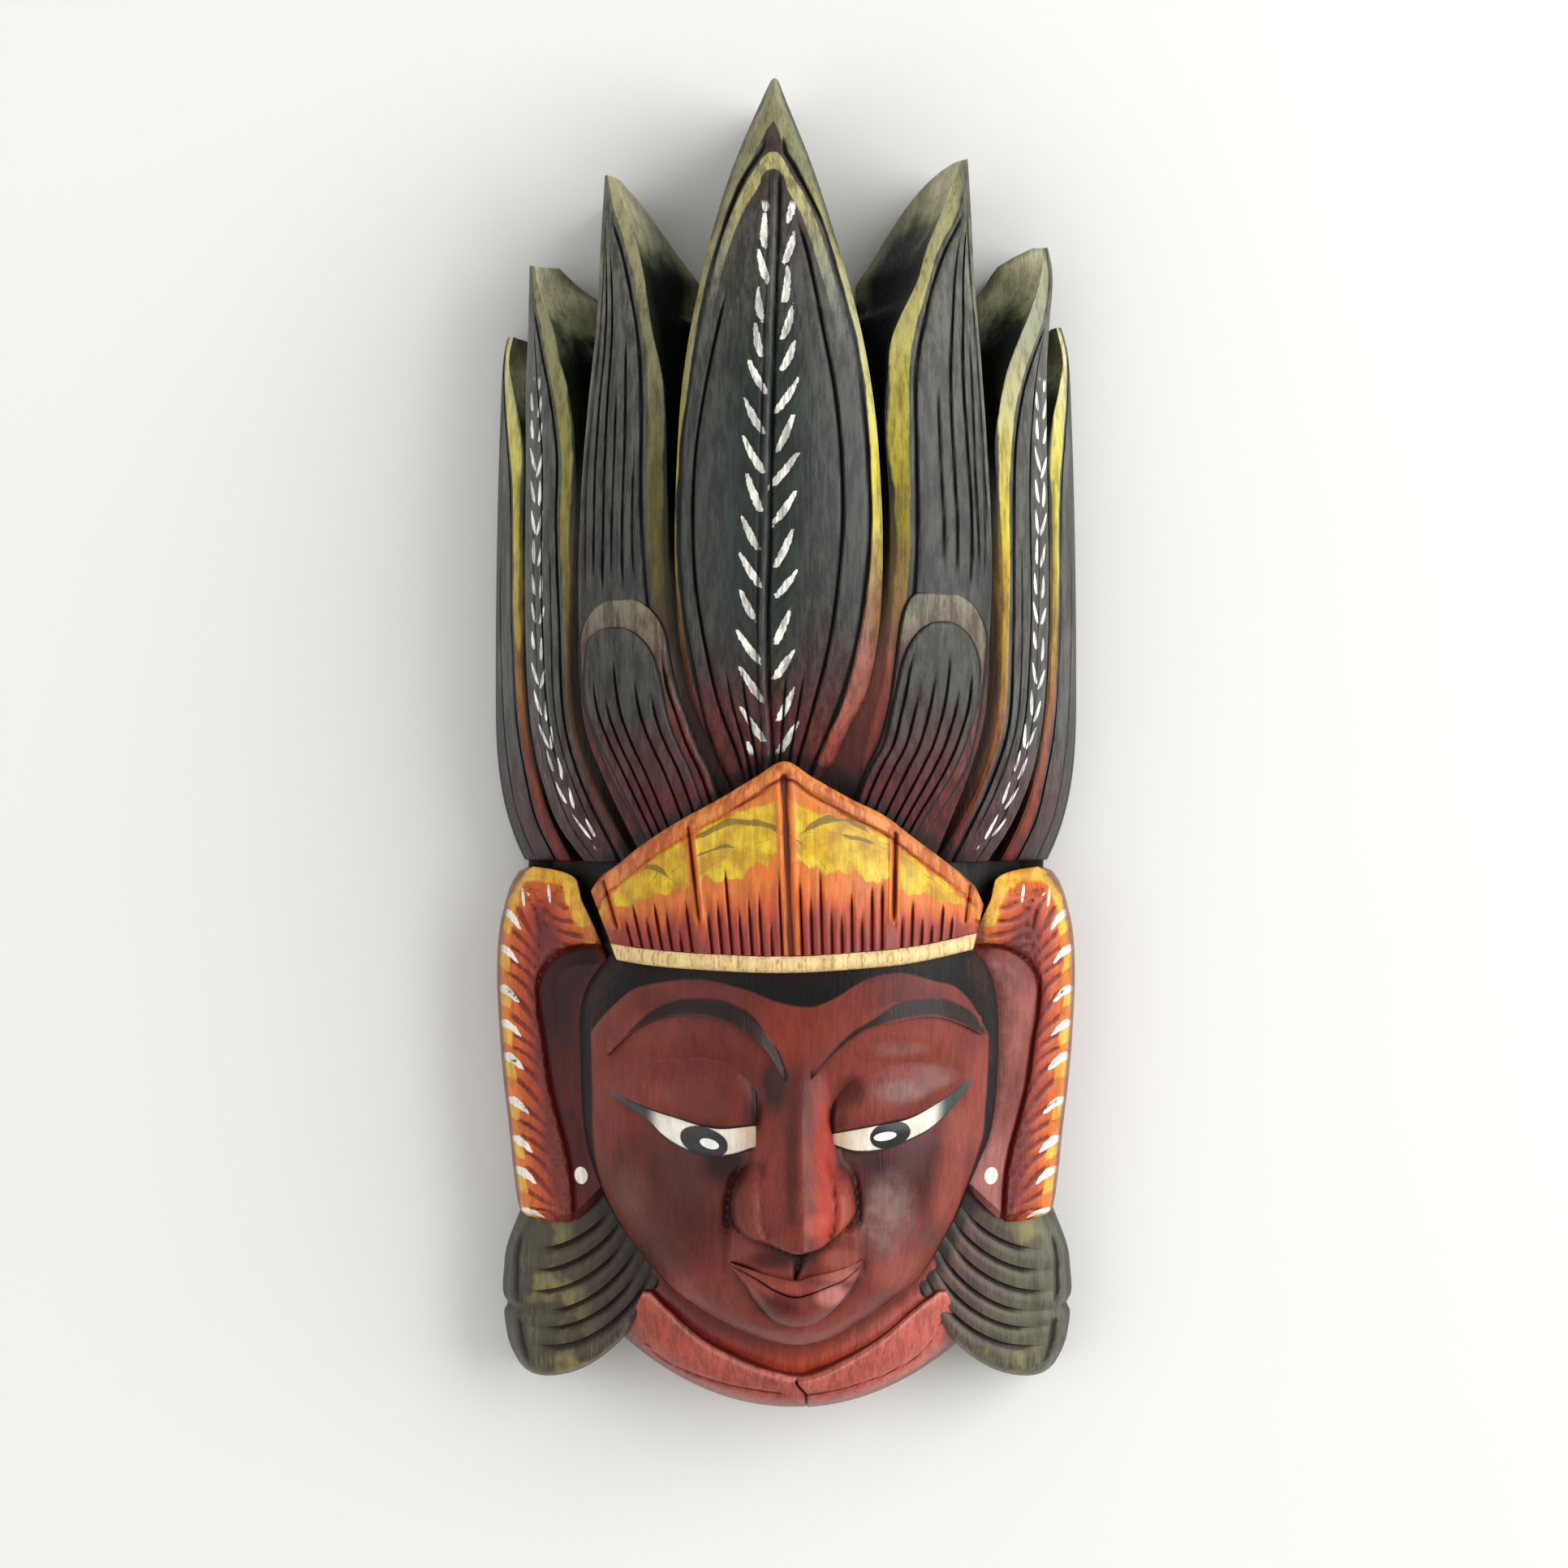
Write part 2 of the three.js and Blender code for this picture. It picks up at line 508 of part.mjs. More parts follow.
function mouth() {
  const xs = [-19.4, -16, -11, -6, -1, 3.9, 8.5, 13.5, 18.5, 22, 24.8];
  const dome = (x) => Math.sqrt(Math.max(0, 1 - ((x - 2.7) / 22.2) ** 2));
  const below = (x) => MOUTH.lower(x) - 2;
  const plate = setOn([-21, ...xs, 26.4], [0, 0.3, 0.7, 1], below, () => -161, (v, x) =>
    0.2 + 5.5 * dome(x) * Math.sin(mix(0.3, 0.8, v) * Math.PI));
  const upper = setOn(xs, [0, 0.4, 1], MOUTH.line, MOUTH.top, (v, x) =>
    1.2 + (8.2 - 1.4 * v) * dome(x) ** 0.7);
  const lower = setOn(xs, [0, 0.35, 0.75, 1], MOUTH.lower, MOUTH.line, (v, x) =>
    0.8 + dome(x) ** 0.7 * (3.4 + 5.2 * Math.sin(v * 0.75 * Math.PI)));
  return [plate, upper, lower];
}

const face = () => [skull(), ...EYES.flatMap(eyeForms), nose(), ...mouth()];

// The side panels: ears whose carved border wraps over the top, with a raised lobe by the face

const EAR = {
  bottom: -165,
  top: -40,
  outer: curve(
    [-165, 91.5], [-160, 93.4], [-145.6, 95.6], [-132, 97], [-115, 99], [-98, 100.4], [-75, 101.3],
    [-60.4, 100.2], [-54.7, 98.9], [-47.7, 97], [-43.4, 95], [-41.2, 92.7], [-40, 88.5],
  ),
  inner: curve(
    [-165, 54], [-90, 54], [-76, 61], [-67.4, 63.1], [-61.8, 66.5], [-55.3, 70.5], [-51, 71.6],
    [-47.7, 74.9], [-44.8, 76.6], [-42.6, 80], [-40.6, 83.7], [-40, 86],
  ),
};

function earPanel(side) {
  const us = [0, 0.04, 0.12, 0.32, 0.36, 0.4, 0.55, 0.7, 1];
  return relief(us, [0, 0.03, ...steps(6, 0.13, 0.8), 0.86, 0.91, 0.95, 0.98, 1], (u, v) => {
    const y = mix(EAR.bottom, EAR.top, v);
    const x = mix(EAR.outer(y), EAR.inner(y), u);
    const slope = curve([0, 26], [0.04, 33], [0.12, 38], [0.32, 43], [0.4, 44], [1, 52])(u);
    const open = between(y, -200, -78, 8); // the lobe's groove ends under the arch
    const line = 2.4 * Math.max(0, 1 - Math.abs(u - 0.36) / 0.04) * open;
    const lobe = 3.5 * bump((u - 0.62) / 0.24) * open;
    const round = 7 * ease((v - 0.9) / 0.1) + 5 * ease((0.03 - v) / 0.03);
    return [side * x, y, slope - line + lobe - round];
  });
}

// The fans of feathers below the ears: curved cuts sweep from the outer edge up to the face

const FAN = {
  outerX: curve(
    [0, -92.5], [0.1, -97.2], [0.2, -98.8], [0.33, -99.2], [0.4, -98.2], [0.47, -99.6], [0.65, -99.4],
    [0.82, -98.2], [1, -93.1],
  ),
  outerY: curve(
    [0, -217.3], [0.1, -208], [0.2, -201], [0.33, -195.5], [0.4, -193], [0.47, -190], [0.65, -181],
    [0.82, -172.5], [1, -159.2],
  ),
  sway: { x: [-64.2, -76], y: [-223.8, -166] },
  inner: { x: [-42, -62], y: [-182, -149] },
  cuts: [0.15, 0.27, 0.4, 0.54, 0.68, 0.82],
};

function featherFan(side) {
  const half = 0.03;
  const vs = columns(FAN.cuts, half, [0, 0.04, 1]);
  return relief([0, 0.06, 0.35, 0.7, 1], vs, (u, v) => {
    const bend = (from, by, to) => from * (1 - u) ** 2 + 2 * by * u * (1 - u) + to * u * u;
    const x = bend(FAN.outerX(v), mix(...FAN.sway.x, v), mix(...FAN.inner.x, v));
    const y = bend(FAN.outerY(v), mix(...FAN.sway.y, v), mix(...FAN.inner.y, v));
    const rise = curve([0, 24], [0.06, 31], [0.3, 37], [0.6, 40], [1, 46])(u);
    const groove = 2 * cut(v, FAN.cuts, half) * ease(u / 0.06);
    return [side * x + 0.4, y, rise - groove - 6 * ease((0.04 - v) / 0.04)];
  });
}

// The collar: a rounded band under the chin that closes at the middle

function collar() {
  const front = (t) => [mix(-58, 64, t), -HALF_LENGTH + 24.5 * Math.abs(2 * t - 1) ** 2.1];
  const neck = (t) => [mix(-44, 50, t), -186 - 6 * (1 - (2 * t - 1) ** 2)];
  const opening = 0.51;
  const half = 0.012;
  const us = columns([opening], half, steps(13));
  const vs = [0, 0.06, 0.16, 0.3, 0.34, 0.38, 0.5, 0.54, 1];
  return relief(us, vs, (u, v) => {
    const [x0, y0] = front(u);
    const [x1, y1] = neck(u);
    const bow = Math.sqrt(1 - (mix(x0, x1, v) / 96) ** 2);
    const rise = curve([0, 33], [0.06, 41], [0.16, 47], [0.34, 52], [0.5, 54], [0.54, 51], [1, 58])(v);
    const fold = 1.6 * Math.max(0, 1 - Math.abs(v - 0.34) / 0.04);
    const slit = 2.2 * cut(u, [opening], half) * ease((0.5 - v) / 0.1);
    return [mix(x0, x1, v), mix(y0, y1, v), rise * bow - fold - slit];
  });
}

// The wood behind and between the carved forms, and the low dark shelf between crown and ears

function core() {
  return relief(steps(12, -1, 1), [0, 0.15, 0.85, 1], (u, v) => {
    const y = mix(-196, 60, v);
    const narrow = y < -150 ? 0.62 : 1;
    const angle = (u * Math.PI) / 2;
    return [88 * narrow * Math.sin(angle), y, 70 * narrow * Math.cos(angle)];
  });
}

function shelf() {
  return relief([-90.5, 90.5], [-70, 10], (x, y) => [x, y, 22]);
}

// The hollow in the back: an egg-shaped scoop, open at the back
function hollow() {
  const scoop = new THREE.SphereGeometry(1, 20, 12);
  return scoop.scale(HOLLOW.x, HOLLOW.y, HOLLOW.z).translate(0, HOLLOW.middle, 0);
}

// A box that keeps everything above the sawn back.
function aboveBack() {
  return new THREE.BoxGeometry(400, 600, 300).translate(0, 0, 150);
}

// A three.js primitive as a solid, with the corners that share a place joined.
function solidOf(primitive) {
  const position = primitive.attributes.position;
  const rounded = (c) => Math.round(c * 1e4) / 1e4 + 0;
  const seen = new Map();
  const points = [];
  const index = Array.from({ length: position.count }, (_, i) => {
    const p = [position.getX(i), position.getY(i), position.getZ(i)].map(rounded);
    const key = p.join();
    if (!seen.has(key)) seen.set(key, points.push(p) - 1);
    return seen.get(key);
  });
  const corners = Array.from(primitive.index.array);
  const triangles = [];
  for (let i = 0; i < corners.length; i += 3) {
    const [a, b, c] = corners.slice(i, i + 3).map((corner) => index[corner]);
    if (a !== b && b !== c && c !== a) triangles.push(a, b, c);
  }
  return solid(points.flat(), triangles);
}

const forms = [
  core(),
  shelf(),
  middleLeaf(),
  ...SIDE_LEAVES.map(sideLeaf),
  ...BUDS.flatMap(({ side, band, leaf }) => [
    arched(side, band, [], 9),
    arched(side, leaf, [0.35, 0.6, 0.8], 9),
  ]),
  headband(),
  ...face(),
  earPanel(-1),
  earPanel(1),
  featherFan(-1),
  featherFan(1),
  collar(),
];
const carved = forms
  .reduce((whole, form) => whole.add(form))
  .intersect(solidOf(aboveBack()))
  .subtract(solidOf(hollow()));

const made = carved.getMesh();
const geometry = new THREE.BufferGeometry();
geometry.setAttribute("position", new THREE.BufferAttribute(made.vertProperties, 3));
geometry.setIndex(new THREE.BufferAttribute(made.triVerts, 1));
geometry.computeVertexNormals();

const paintedWood = new THREE.MeshStandardMaterial({ color: 0x4a3230, roughness: 0.5, metalness: 0 });
const mask = new THREE.Mesh(geometry, paintedWood);
mask.name = "mask";

const group = new THREE.Group();
group.add(mask);
export default group;
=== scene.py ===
import json
import math

import bmesh
import bpy
import numpy as np
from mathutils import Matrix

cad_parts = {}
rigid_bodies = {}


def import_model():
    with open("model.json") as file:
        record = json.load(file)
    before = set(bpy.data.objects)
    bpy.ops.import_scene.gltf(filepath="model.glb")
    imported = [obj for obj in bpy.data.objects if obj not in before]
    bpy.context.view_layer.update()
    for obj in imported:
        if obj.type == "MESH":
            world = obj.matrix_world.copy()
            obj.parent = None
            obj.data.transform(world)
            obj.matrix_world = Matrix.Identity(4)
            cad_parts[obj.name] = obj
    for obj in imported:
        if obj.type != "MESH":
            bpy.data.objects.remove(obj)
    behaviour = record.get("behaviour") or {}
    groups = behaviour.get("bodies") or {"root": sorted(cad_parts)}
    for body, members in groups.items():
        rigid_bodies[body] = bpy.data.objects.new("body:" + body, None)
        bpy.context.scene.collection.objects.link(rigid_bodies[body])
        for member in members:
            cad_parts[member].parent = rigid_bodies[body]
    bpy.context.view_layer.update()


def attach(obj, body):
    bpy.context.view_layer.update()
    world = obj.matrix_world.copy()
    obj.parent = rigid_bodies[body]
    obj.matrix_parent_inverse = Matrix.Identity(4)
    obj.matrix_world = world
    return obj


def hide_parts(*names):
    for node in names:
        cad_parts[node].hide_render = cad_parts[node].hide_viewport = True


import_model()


# The middle leaf of the crown. The whole mask is carved from one half log, so this leaf, like every
# form after it, is a carved face worked down from the log's round front, with straight gouged walls.
# It has a bevelled yellow border, a second leaf cut in, a midrib and brushed white dabs in a V.

def mix(a, b, t):
    """The value a share t of the way from a to b."""
    return a + (b - a) * t


def ease(t):
    """A soft step: 3 t squared less 2 t cubed, with t held between 0 and 1."""
    t = np.clip(t, 0, 1)
    return t * t * (3 - 2 * t)


def between(t, low, high, fade):
    """1 from low to high, with a soft fall to 0 over fade at both ends."""
    return ease((t - low) / fade + 1) * ease((high - t) / fade + 1)


def hill(dx, dy=0.0):
    """A round hill: one less the distance squared, squared again, and 0 past distance 1."""
    return np.maximum(0, 1 - np.square(dx) - np.square(dy)) ** 2


def curve(*pairs):
    """A smooth line through (place, value) pairs: cubic Hermite pieces whose slopes are the mean of
    the slopes on both sides, level past both ends."""
    place, value = np.array(pairs, float).T
    slope = np.diff(value) / np.diff(place)
    tangent = np.concatenate([slope[:1], (slope[:-1] + slope[1:]) / 2, slope[-1:]])

    def at(x):
        x = np.clip(x, place[0], place[-1])
        i = np.clip(np.searchsorted(place, x) - 1, 0, len(place) - 2)
        span = place[i + 1] - place[i]
        t = (x - place[i]) / span
        ends = (1 + 2 * t) * (1 - t) ** 2 * value[i] + t * t * (3 - 2 * t) * value[i + 1]
        return ends + span * t * (1 - t) * ((1 - t) * tangent[i] - t * tangent[i + 1])

    return at


def columns(low, high, pitch, lines=(), half=0.03):
    """Places from low to high about a pitch apart, with seven close together over every cut line."""
    fill = np.linspace(low, high, max(2, round((high - low) / pitch)) + 1)
    for line in lines:
        fill = fill[(abs(fill - line) > half * 1.2) | (fill == low) | (fill == high)]
    close = [line + half * np.array([-1, -0.66, -0.33, 0, 0.33, 0.66, 1]) for line in lines]
    return np.unique(np.round(np.concatenate([fill, *close]), 5))


def notch(distance, half):
    """The depth share of a gouge cut: 1 on its line, a round shoulder, and 0 past half its width."""
    return np.clip(1 - np.abs(distance) / half, 0, 1) ** 1.3


forms = bpy.data.collections.new("carved forms")
bpy.context.scene.collection.children.link(forms)
paints = []
MARKS = ("border", "cut", "brow", "hair", "tip", "wall")
UNMARKED = {"cut": 0.0, "tip": 90.0}
FOOT = -6.0


def carved(paint, us, vs, face, rounding=0.8):
    """One closed carved form. face(u, v) gives x, y, z in mm over the grid and its paint marks.
    The rim turns down over a small radius in three rings, straight walls stand from there to 6 mm
    under the back, and a flat foot of the same grid closes it."""
    u, v = np.meshgrid(np.asarray(us, float), np.asarray(vs, float))
    x, y, z, marks = face(u, v)
    top = np.stack(np.broadcast_arrays(x, y, z), -1).astype(float)
    rows, cols = u.shape
    index = np.arange(rows * cols).reshape(rows, cols)
    j, i = np.indices((rows, cols))
    inner = index[np.clip(j, 1, rows - 2), np.clip(i, 1, cols - 2)].ravel()
    ring = np.concatenate([index[0], index[1:, -1], index[-1, -2::-1], index[-2:0:-1, 0]])
    after = np.roll(np.arange(len(ring)), -1)
    flat = top.reshape(-1, 3)
    edge = flat[ring].copy()
    inward = flat[inner[ring]] - edge
    reach = np.maximum(np.hypot(inward[:, 0], inward[:, 1]), 1e-6)
    inward *= np.minimum(0.45, rounding / reach)[:, None]
    down = np.array([0, 0, 1.0])
    face_points = flat.copy()
    face_points[ring] = edge + inward
    rings = [
        edge + inward * 0.3 - down * rounding * 0.3,
        edge - down * rounding,
        edge - down * rounding * 3,
        np.column_stack([edge[:, :2], np.full(len(edge), FOOT)]),
    ]
    foot = flat.copy()
    foot[:, 2] = FOOT
    inside = np.setdiff1d(np.arange(rows * cols), ring)
    place = np.zeros(rows * cols, int)
    count = rows * cols
    starts = [count + k * len(ring) for k in range(4)]
    place[ring] = starts[3] + np.arange(len(ring))
    place[inside] = starts[3] + len(ring) + np.arange(len(inside))
    points = np.concatenate([face_points, *rings, foot[inside]])
    source = np.concatenate([np.arange(count), *[ring] * 4, inside])
    wall = np.concatenate([np.zeros(count), np.zeros(len(ring)), np.full(len(ring), 0.4),
                           np.ones(2 * len(ring) + len(inside))])
    a, b = index[:-1, :-1].ravel(), index[:-1, 1:].ravel()
    c, d = index[1:, 1:].ravel(), index[1:, :-1].ravel()
    quads = [np.column_stack([a, b, c, d]), place[np.column_stack([a, d, c, b])]]
    above = ring
    for start in starts:
        below = start + np.arange(len(ring))
        quads.append(np.column_stack([below, below[after], above[after], above]))
        above = below
    quads = np.concatenate(quads)
    along, to = flat[cols - 1] - flat[0], flat[-1] - flat[0]
    if along[0] * to[1] - along[1] * to[0] < 0:
        quads = quads[:, ::-1]
    mesh = bpy.data.meshes.new("carved form")
    mesh.from_pydata(points * 0.001, [], quads)
    corner = quads.ravel()
    spread = lambda values: np.broadcast_to(values, u.shape).ravel()[source][corner]
    lay = mesh.uv_layers.new(name="lay")
    across, length = marks.get("across", x), marks.get("length", y)
    lay.data.foreach_set("uv", np.column_stack([spread(across),
                                                spread(length)]).astype(np.float32).ravel())
    for mark in MARKS:
        values = wall[corner] if mark == "wall" else spread(marks.get(mark, UNMARKED.get(mark, -9.0)))
        data = mesh.attributes.new(mark, "FLOAT", "CORNER").data
        data.foreach_set("value", np.ascontiguousarray(values, np.float32))
    for finish in paints:
        mesh.materials.append(finish)
    if paint not in paints:
        paints.append(paint)
        mesh.materials.append(paint)
    mesh.polygons.foreach_set("material_index", np.full(len(mesh.polygons), paints.index(paint), np.int32))
    form = bpy.data.objects.new("carved form", mesh)
    forms.objects.link(form)
    return form


LOG_WIDEST, LOG_HALF = 22, 103.4
LOG_HIGHEST, LOG_RIDGE = 80, 95


def log_half(y):
    """Half the log's width at y: widest a little above the middle and slimmer towards both ends."""
    return np.where(y < LOG_WIDEST, LOG_HALF - 10.4 * ((LOG_WIDEST - y) / 60.5) ** 3,
                    LOG_HALF - 2.1 * ((y - LOG_WIDEST) / 108) ** 2)


def log_front(x, y):
    """The log's round front: a half ellipse across, over a ridge that falls away to both ends."""
    ridge = np.where(y < LOG_HIGHEST, LOG_RIDGE - 8 * ((LOG_HIGHEST - y) / 80) ** 2,
                     LOG_RIDGE - 35 * ((y - LOG_HIGHEST) / 150) ** 2)
    return ridge * np.sqrt(np.maximum(0, 1 - (x / log_half(y)) ** 2))


def log_angle(x, y):
    """How far round the log x lies, as an angle from its middle."""
    return np.arcsin(np.clip(x / log_half(y), -1, 1))


def pigment(code):
    """A paint's colour from its six-digit screen code, made linear."""
    parts = [int(code[k:k + 2], 16) / 255 for k in (1, 3, 5)]
    return (*[p / 12.92 if p <= 0.04045 else ((p + 0.055) / 1.055) ** 2.4 for p in parts], 1)


class Reading:
    """A value, colour or place that changes over the surface, as one socket of a paint's nodes.
    Each sum on it is one Math node in the same tree."""

    def __init__(self, socket):
        self.socket = socket
        self.tree = socket.id_data

    def __add__(self, other):
        return reckon("ADD", self, other)

    def __sub__(self, other):
        return reckon("SUBTRACT", self, other)

    def __mul__(self, other):
        return reckon("MULTIPLY", self, other)

    def __truediv__(self, other):
        return reckon("DIVIDE", self, other)

    def __abs__(self):
        return reckon("ABSOLUTE", self)


def fill(made, sockets):
    """Each named input of a node gets its link, its colour from a screen code, or its value."""
    for name, value in sockets.items():
        if isinstance(value, Reading):
            value.tree.links.new(value.socket, made.inputs[name])
        else:
            made.inputs[name].default_value = pigment(value) if isinstance(value, str) else value
    return made


def node(tree, kind, sockets=None, **settings):
    """One node of a tree, with its settings and its filled inputs."""
    made = tree.nodes.new("ShaderNode" + kind)
    for name, value in settings.items():
        setattr(made, name, value)
    return fill(made, sockets or {})


def reckon(operation, *values, clamp=False):
    """The result of one sum on one to three values, of which one at least is a reading."""
    tree = next(value.tree for value in values if isinstance(value, Reading))
    made = node(tree, "Math", dict(enumerate(values)), operation=operation, use_clamp=clamp)
    return Reading(made.outputs[0])


def uneven(value, noise, amount):
    """A value pushed up and down by noise round its middle, over a range of this amount."""
    return reckon("MULTIPLY_ADD", noise - 0.5, amount, value)


def fade(value, low, high, start=0.0, end=1.0):
    """A soft step of a value from start at low to end at high."""
    ends = {"Value": value, "From Min": low, "From Max": high, "To Min": start, "To Max": end}
    return Reading(node(value.tree, "MapRange", ends, interpolation_type="SMOOTHSTEP").outputs[0])


def blend(share, under, over, way="MIX"):
    """One colour laid over another by a share."""
    tree = next(value.tree for value in (share, under, over) if isinstance(value, Reading))
    made = node(tree, "Mix", {0: share, 6: under, 7: over}, data_type="RGBA", blend_type=way,
                clamp_factor=True)
    return Reading(made.outputs[2])


def tinted(colour, *tint):
    """A colour times a tint, channel by channel."""
    return blend(1.0, colour, (*tint, 1), "MULTIPLY")


def shades(value, *stops):
    """A row of colours along a value, from (place, colour code) stops."""
    made = node(value.tree, "ValToRGB", {0: value})
    row = made.color_ramp.elements
    while len(row) < len(stops):
        row.new(0.5)
    for element, (place, code) in zip(row, stops):
        element.position = place
    for element, (place, code) in zip(row, stops):
        element.position, element.color = place, pigment(code)
    return Reading(made.outputs[0])


def mark(tree, name):
    """A paint mark that the carving left on the surface."""
    return Reading(node(tree, "Attribute", attribute_name=name).outputs["Fac"])


def spot_on(tree):
    """The place on the mask, in metres along its own axes."""
    return Reading(node(tree, "TexCoord").outputs["Object"])


def parts_of(vector):
    """The three parts of a place or colour."""
    return [Reading(part) for part in node(vector.tree, "SeparateXYZ", {0: vector}).outputs]


def lay_on(tree):
    """The place across and along a form, from its own UV map."""
    return parts_of(Reading(node(tree, "UVMap", uv_map="lay").outputs[0]))[:2]


def plan_on(tree):
    """The place across and along the mask, in mm."""
    return [part * 1000.0 for part in parts_of(spot_on(tree))[:2]]


def drawn_out(spot, counts):
    """A place with its axes scaled, which draws a pattern on it out along the least of them."""
    return Reading(node(spot.tree, "VectorMath", {0: spot, 1: counts}, operation="MULTIPLY").outputs[0])


def cloudy(spot, scale, detail=2.0, **more):
    """Soft round noise, with its scale counted per metre of the place."""
    sockets = {"Vector": spot, "Scale": scale, "Detail": detail, **more}
    return Reading(node(spot.tree, "TexNoise", sockets).outputs["Fac"])


def walled(colour, shade, low=0.3, high=0.9):
    """A colour that gives way to one shade on the straight walls of a form."""
    return blend(fade(mark(colour.tree, "wall"), low, high), colour, shade)


def chances(seed):
    """Three chance numbers between 0 and 1 for each value of a seed."""
    noise = node(seed.tree, "TexWhiteNoise", {"W": seed}, noise_dimensions="1D")
    drawn = node(seed.tree, "SeparateColor", {0: Reading(noise.outputs["Color"])})
    return [Reading(part) for part in drawn.outputs]


def group(name, colours, values, results):
    """An empty shared effect, with the colours and values that go in and the results that come out."""
    tree = bpy.data.node_groups.new(name, "ShaderNodeTree")
    for label in colours:
        tree.interface.new_socket(label, in_out="INPUT", socket_type="NodeSocketColor")
    for label, value in values.items():
        made = tree.interface.new_socket(label, in_out="INPUT", socket_type="NodeSocketFloat")
        made.default_value = value
    for label in results:
        kind = "NodeSocketColor" if label == "Color" else "NodeSocketFloat"
        tree.interface.new_socket(label, in_out="OUTPUT", socket_type=kind)
    given = tree.nodes.new("NodeGroupInput").outputs
    return tree, {socket.name: Reading(socket) for socket in given}, tree.nodes.new("NodeGroupOutput")


def use(tree, shared, sockets):
    """A shared effect placed in a paint, with its own values, and its results by name."""
    made = tree.nodes.new("ShaderNodeGroup")
    made.node_tree = shared
    return {socket.name: Reading(socket) for socket in fill(made, sockets).outputs}


def grain_of_wood():
    """Brush and grain marks along the log: noise drawn out along Y for the fine streaks and, wider,
    for brush-wide mottle, soft round noise for uneven cover, and small round noise for grit."""
    tree, given, out = group("wood grain", [], {"Streak Length": 16.0},
                             ["Fine", "Mottle", "Broad", "Grit"])
    spot = spot_on(tree)
    shrink = reckon("DIVIDE", 1000, given["Streak Length"])
    thin = Reading(node(tree, "CombineXYZ", {0: 1100.0, 1: shrink, 2: 700.0}).outputs[0])
    noises = {"Fine": cloudy(drawn_out(spot, thin), 1.0, 3.0, Roughness=0.6),
              "Mottle": cloudy(drawn_out(spot, (330.0, 75.0, 200.0)), 1.0, 5.0, Roughness=0.68),
              "Broad": cloudy(spot, 55.0, 3.0, Roughness=0.55), "Grit": cloudy(spot, 900.0)}
    fill(out, {name: fade(noise, 0.28, 0.72) for name, noise in noises.items()})
    return tree


grain_marks = grain_of_wood()


def grain_at(tree, streak_length=16.0):
    """The wood grain in a paint, with fine streaks of about this length in mm."""
    return use(tree, grain_marks, {"Streak Length": streak_length})


def hand_paint():
    """Thin brushed paint on carved wood: the colour streaks with the grain, a dark wash gathers in
    the cuts, the low places are darkened with it as wash and painted shade together, and the high
    edges are rubbed lighter."""
    tree, given, out = group(
        "hand paint", ["Paint", "Wash", "Rub"],
        {"Cut": 0.0, "Hollow": 0.0, "Streak": 0.5, "Worn": 0.3, "Gloss": 0.4},
        ["Color", "Roughness", "Height"])
    grain, paint = grain_at(tree), given["Paint"]
    patchy = fade(grain["Fine"] * 0.35 + grain["Mottle"] * 0.65, 0.2, 0.8)
    streaked = blend(patchy, tinted(paint, 0.38, 0.36, 0.36), tinted(paint, 1.5, 1.5, 1.46))
    colour = blend(given["Streak"], paint, streaked)
    in_cut = fade(grain["Broad"] * 0.3 + given["Cut"], 0.3, 0.75)
    # The low places take the wash colour: partly a wash, partly painted shade in creases and between
    # forms.
    low_wash_and_shade = fade(grain["Fine"] * 0.25 + given["Hollow"], 0.25, 1.1, 0.0, 0.85)
    colour = blend(reckon("MAXIMUM", in_cut, low_wash_and_shade), colour, given["Wash"])
    proud = reckon("MINIMUM", given["Hollow"] * -1.0, 0.5)
    rubbed = fade(grain["Fine"] * 0.5 + proud, 0.45, 1.1) * given["Worn"]
    rough = reckon("MULTIPLY_ADD", in_cut, 0.15, grain["Fine"] * 0.16 + given["Gloss"], clamp=True)
    raised = grain["Broad"] * 0.8 + grain["Fine"] * 0.6 + grain["Grit"] * 0.3
    fill(out, {"Color": blend(rubbed, colour, given["Rub"]), "Roughness": rough, "Height": raised})
    return tree


paint_work = hand_paint()
BRUSH_DEPTH = 0.0006


def finish(material, colour, wash, rub, streak=0.5, worn=0.3, gloss=0.4, coat=0.25, bump=0.25,
           shine=0.32, hollow=None):
    """A painted surface from its laid colour: the hand paint effect feeds the shader, with a thin
    wax coat over it and a fine bump of brush marks."""
    tree = material.node_tree
    made = use(tree, paint_work, {
        "Paint": colour, "Wash": wash, "Rub": rub, "Cut": mark(tree, "cut"),
        "Hollow": hollow or mark(tree, "hollow"), "Streak": streak, "Worn": worn, "Gloss": gloss})
    relief = node(tree, "Bump", {"Strength": bump, "Distance": BRUSH_DEPTH, "Height": made["Height"]})
    shader = node(tree, "BsdfPrincipled", {
        "Base Color": made["Color"], "Roughness": made["Roughness"], "Normal": Reading(relief.outputs[0]),
        "Coat Weight": coat, "Coat Roughness": 0.25, "Specular IOR Level": shine})
    node(tree, "OutputMaterial", {0: Reading(shader.outputs[0])})
    return material


def new_paint(name):
    """An empty node material and its tree."""
    material = bpy.data.materials.new(name)
    material.use_nodes = True
    material.node_tree.nodes.clear()
    return material, material.node_tree


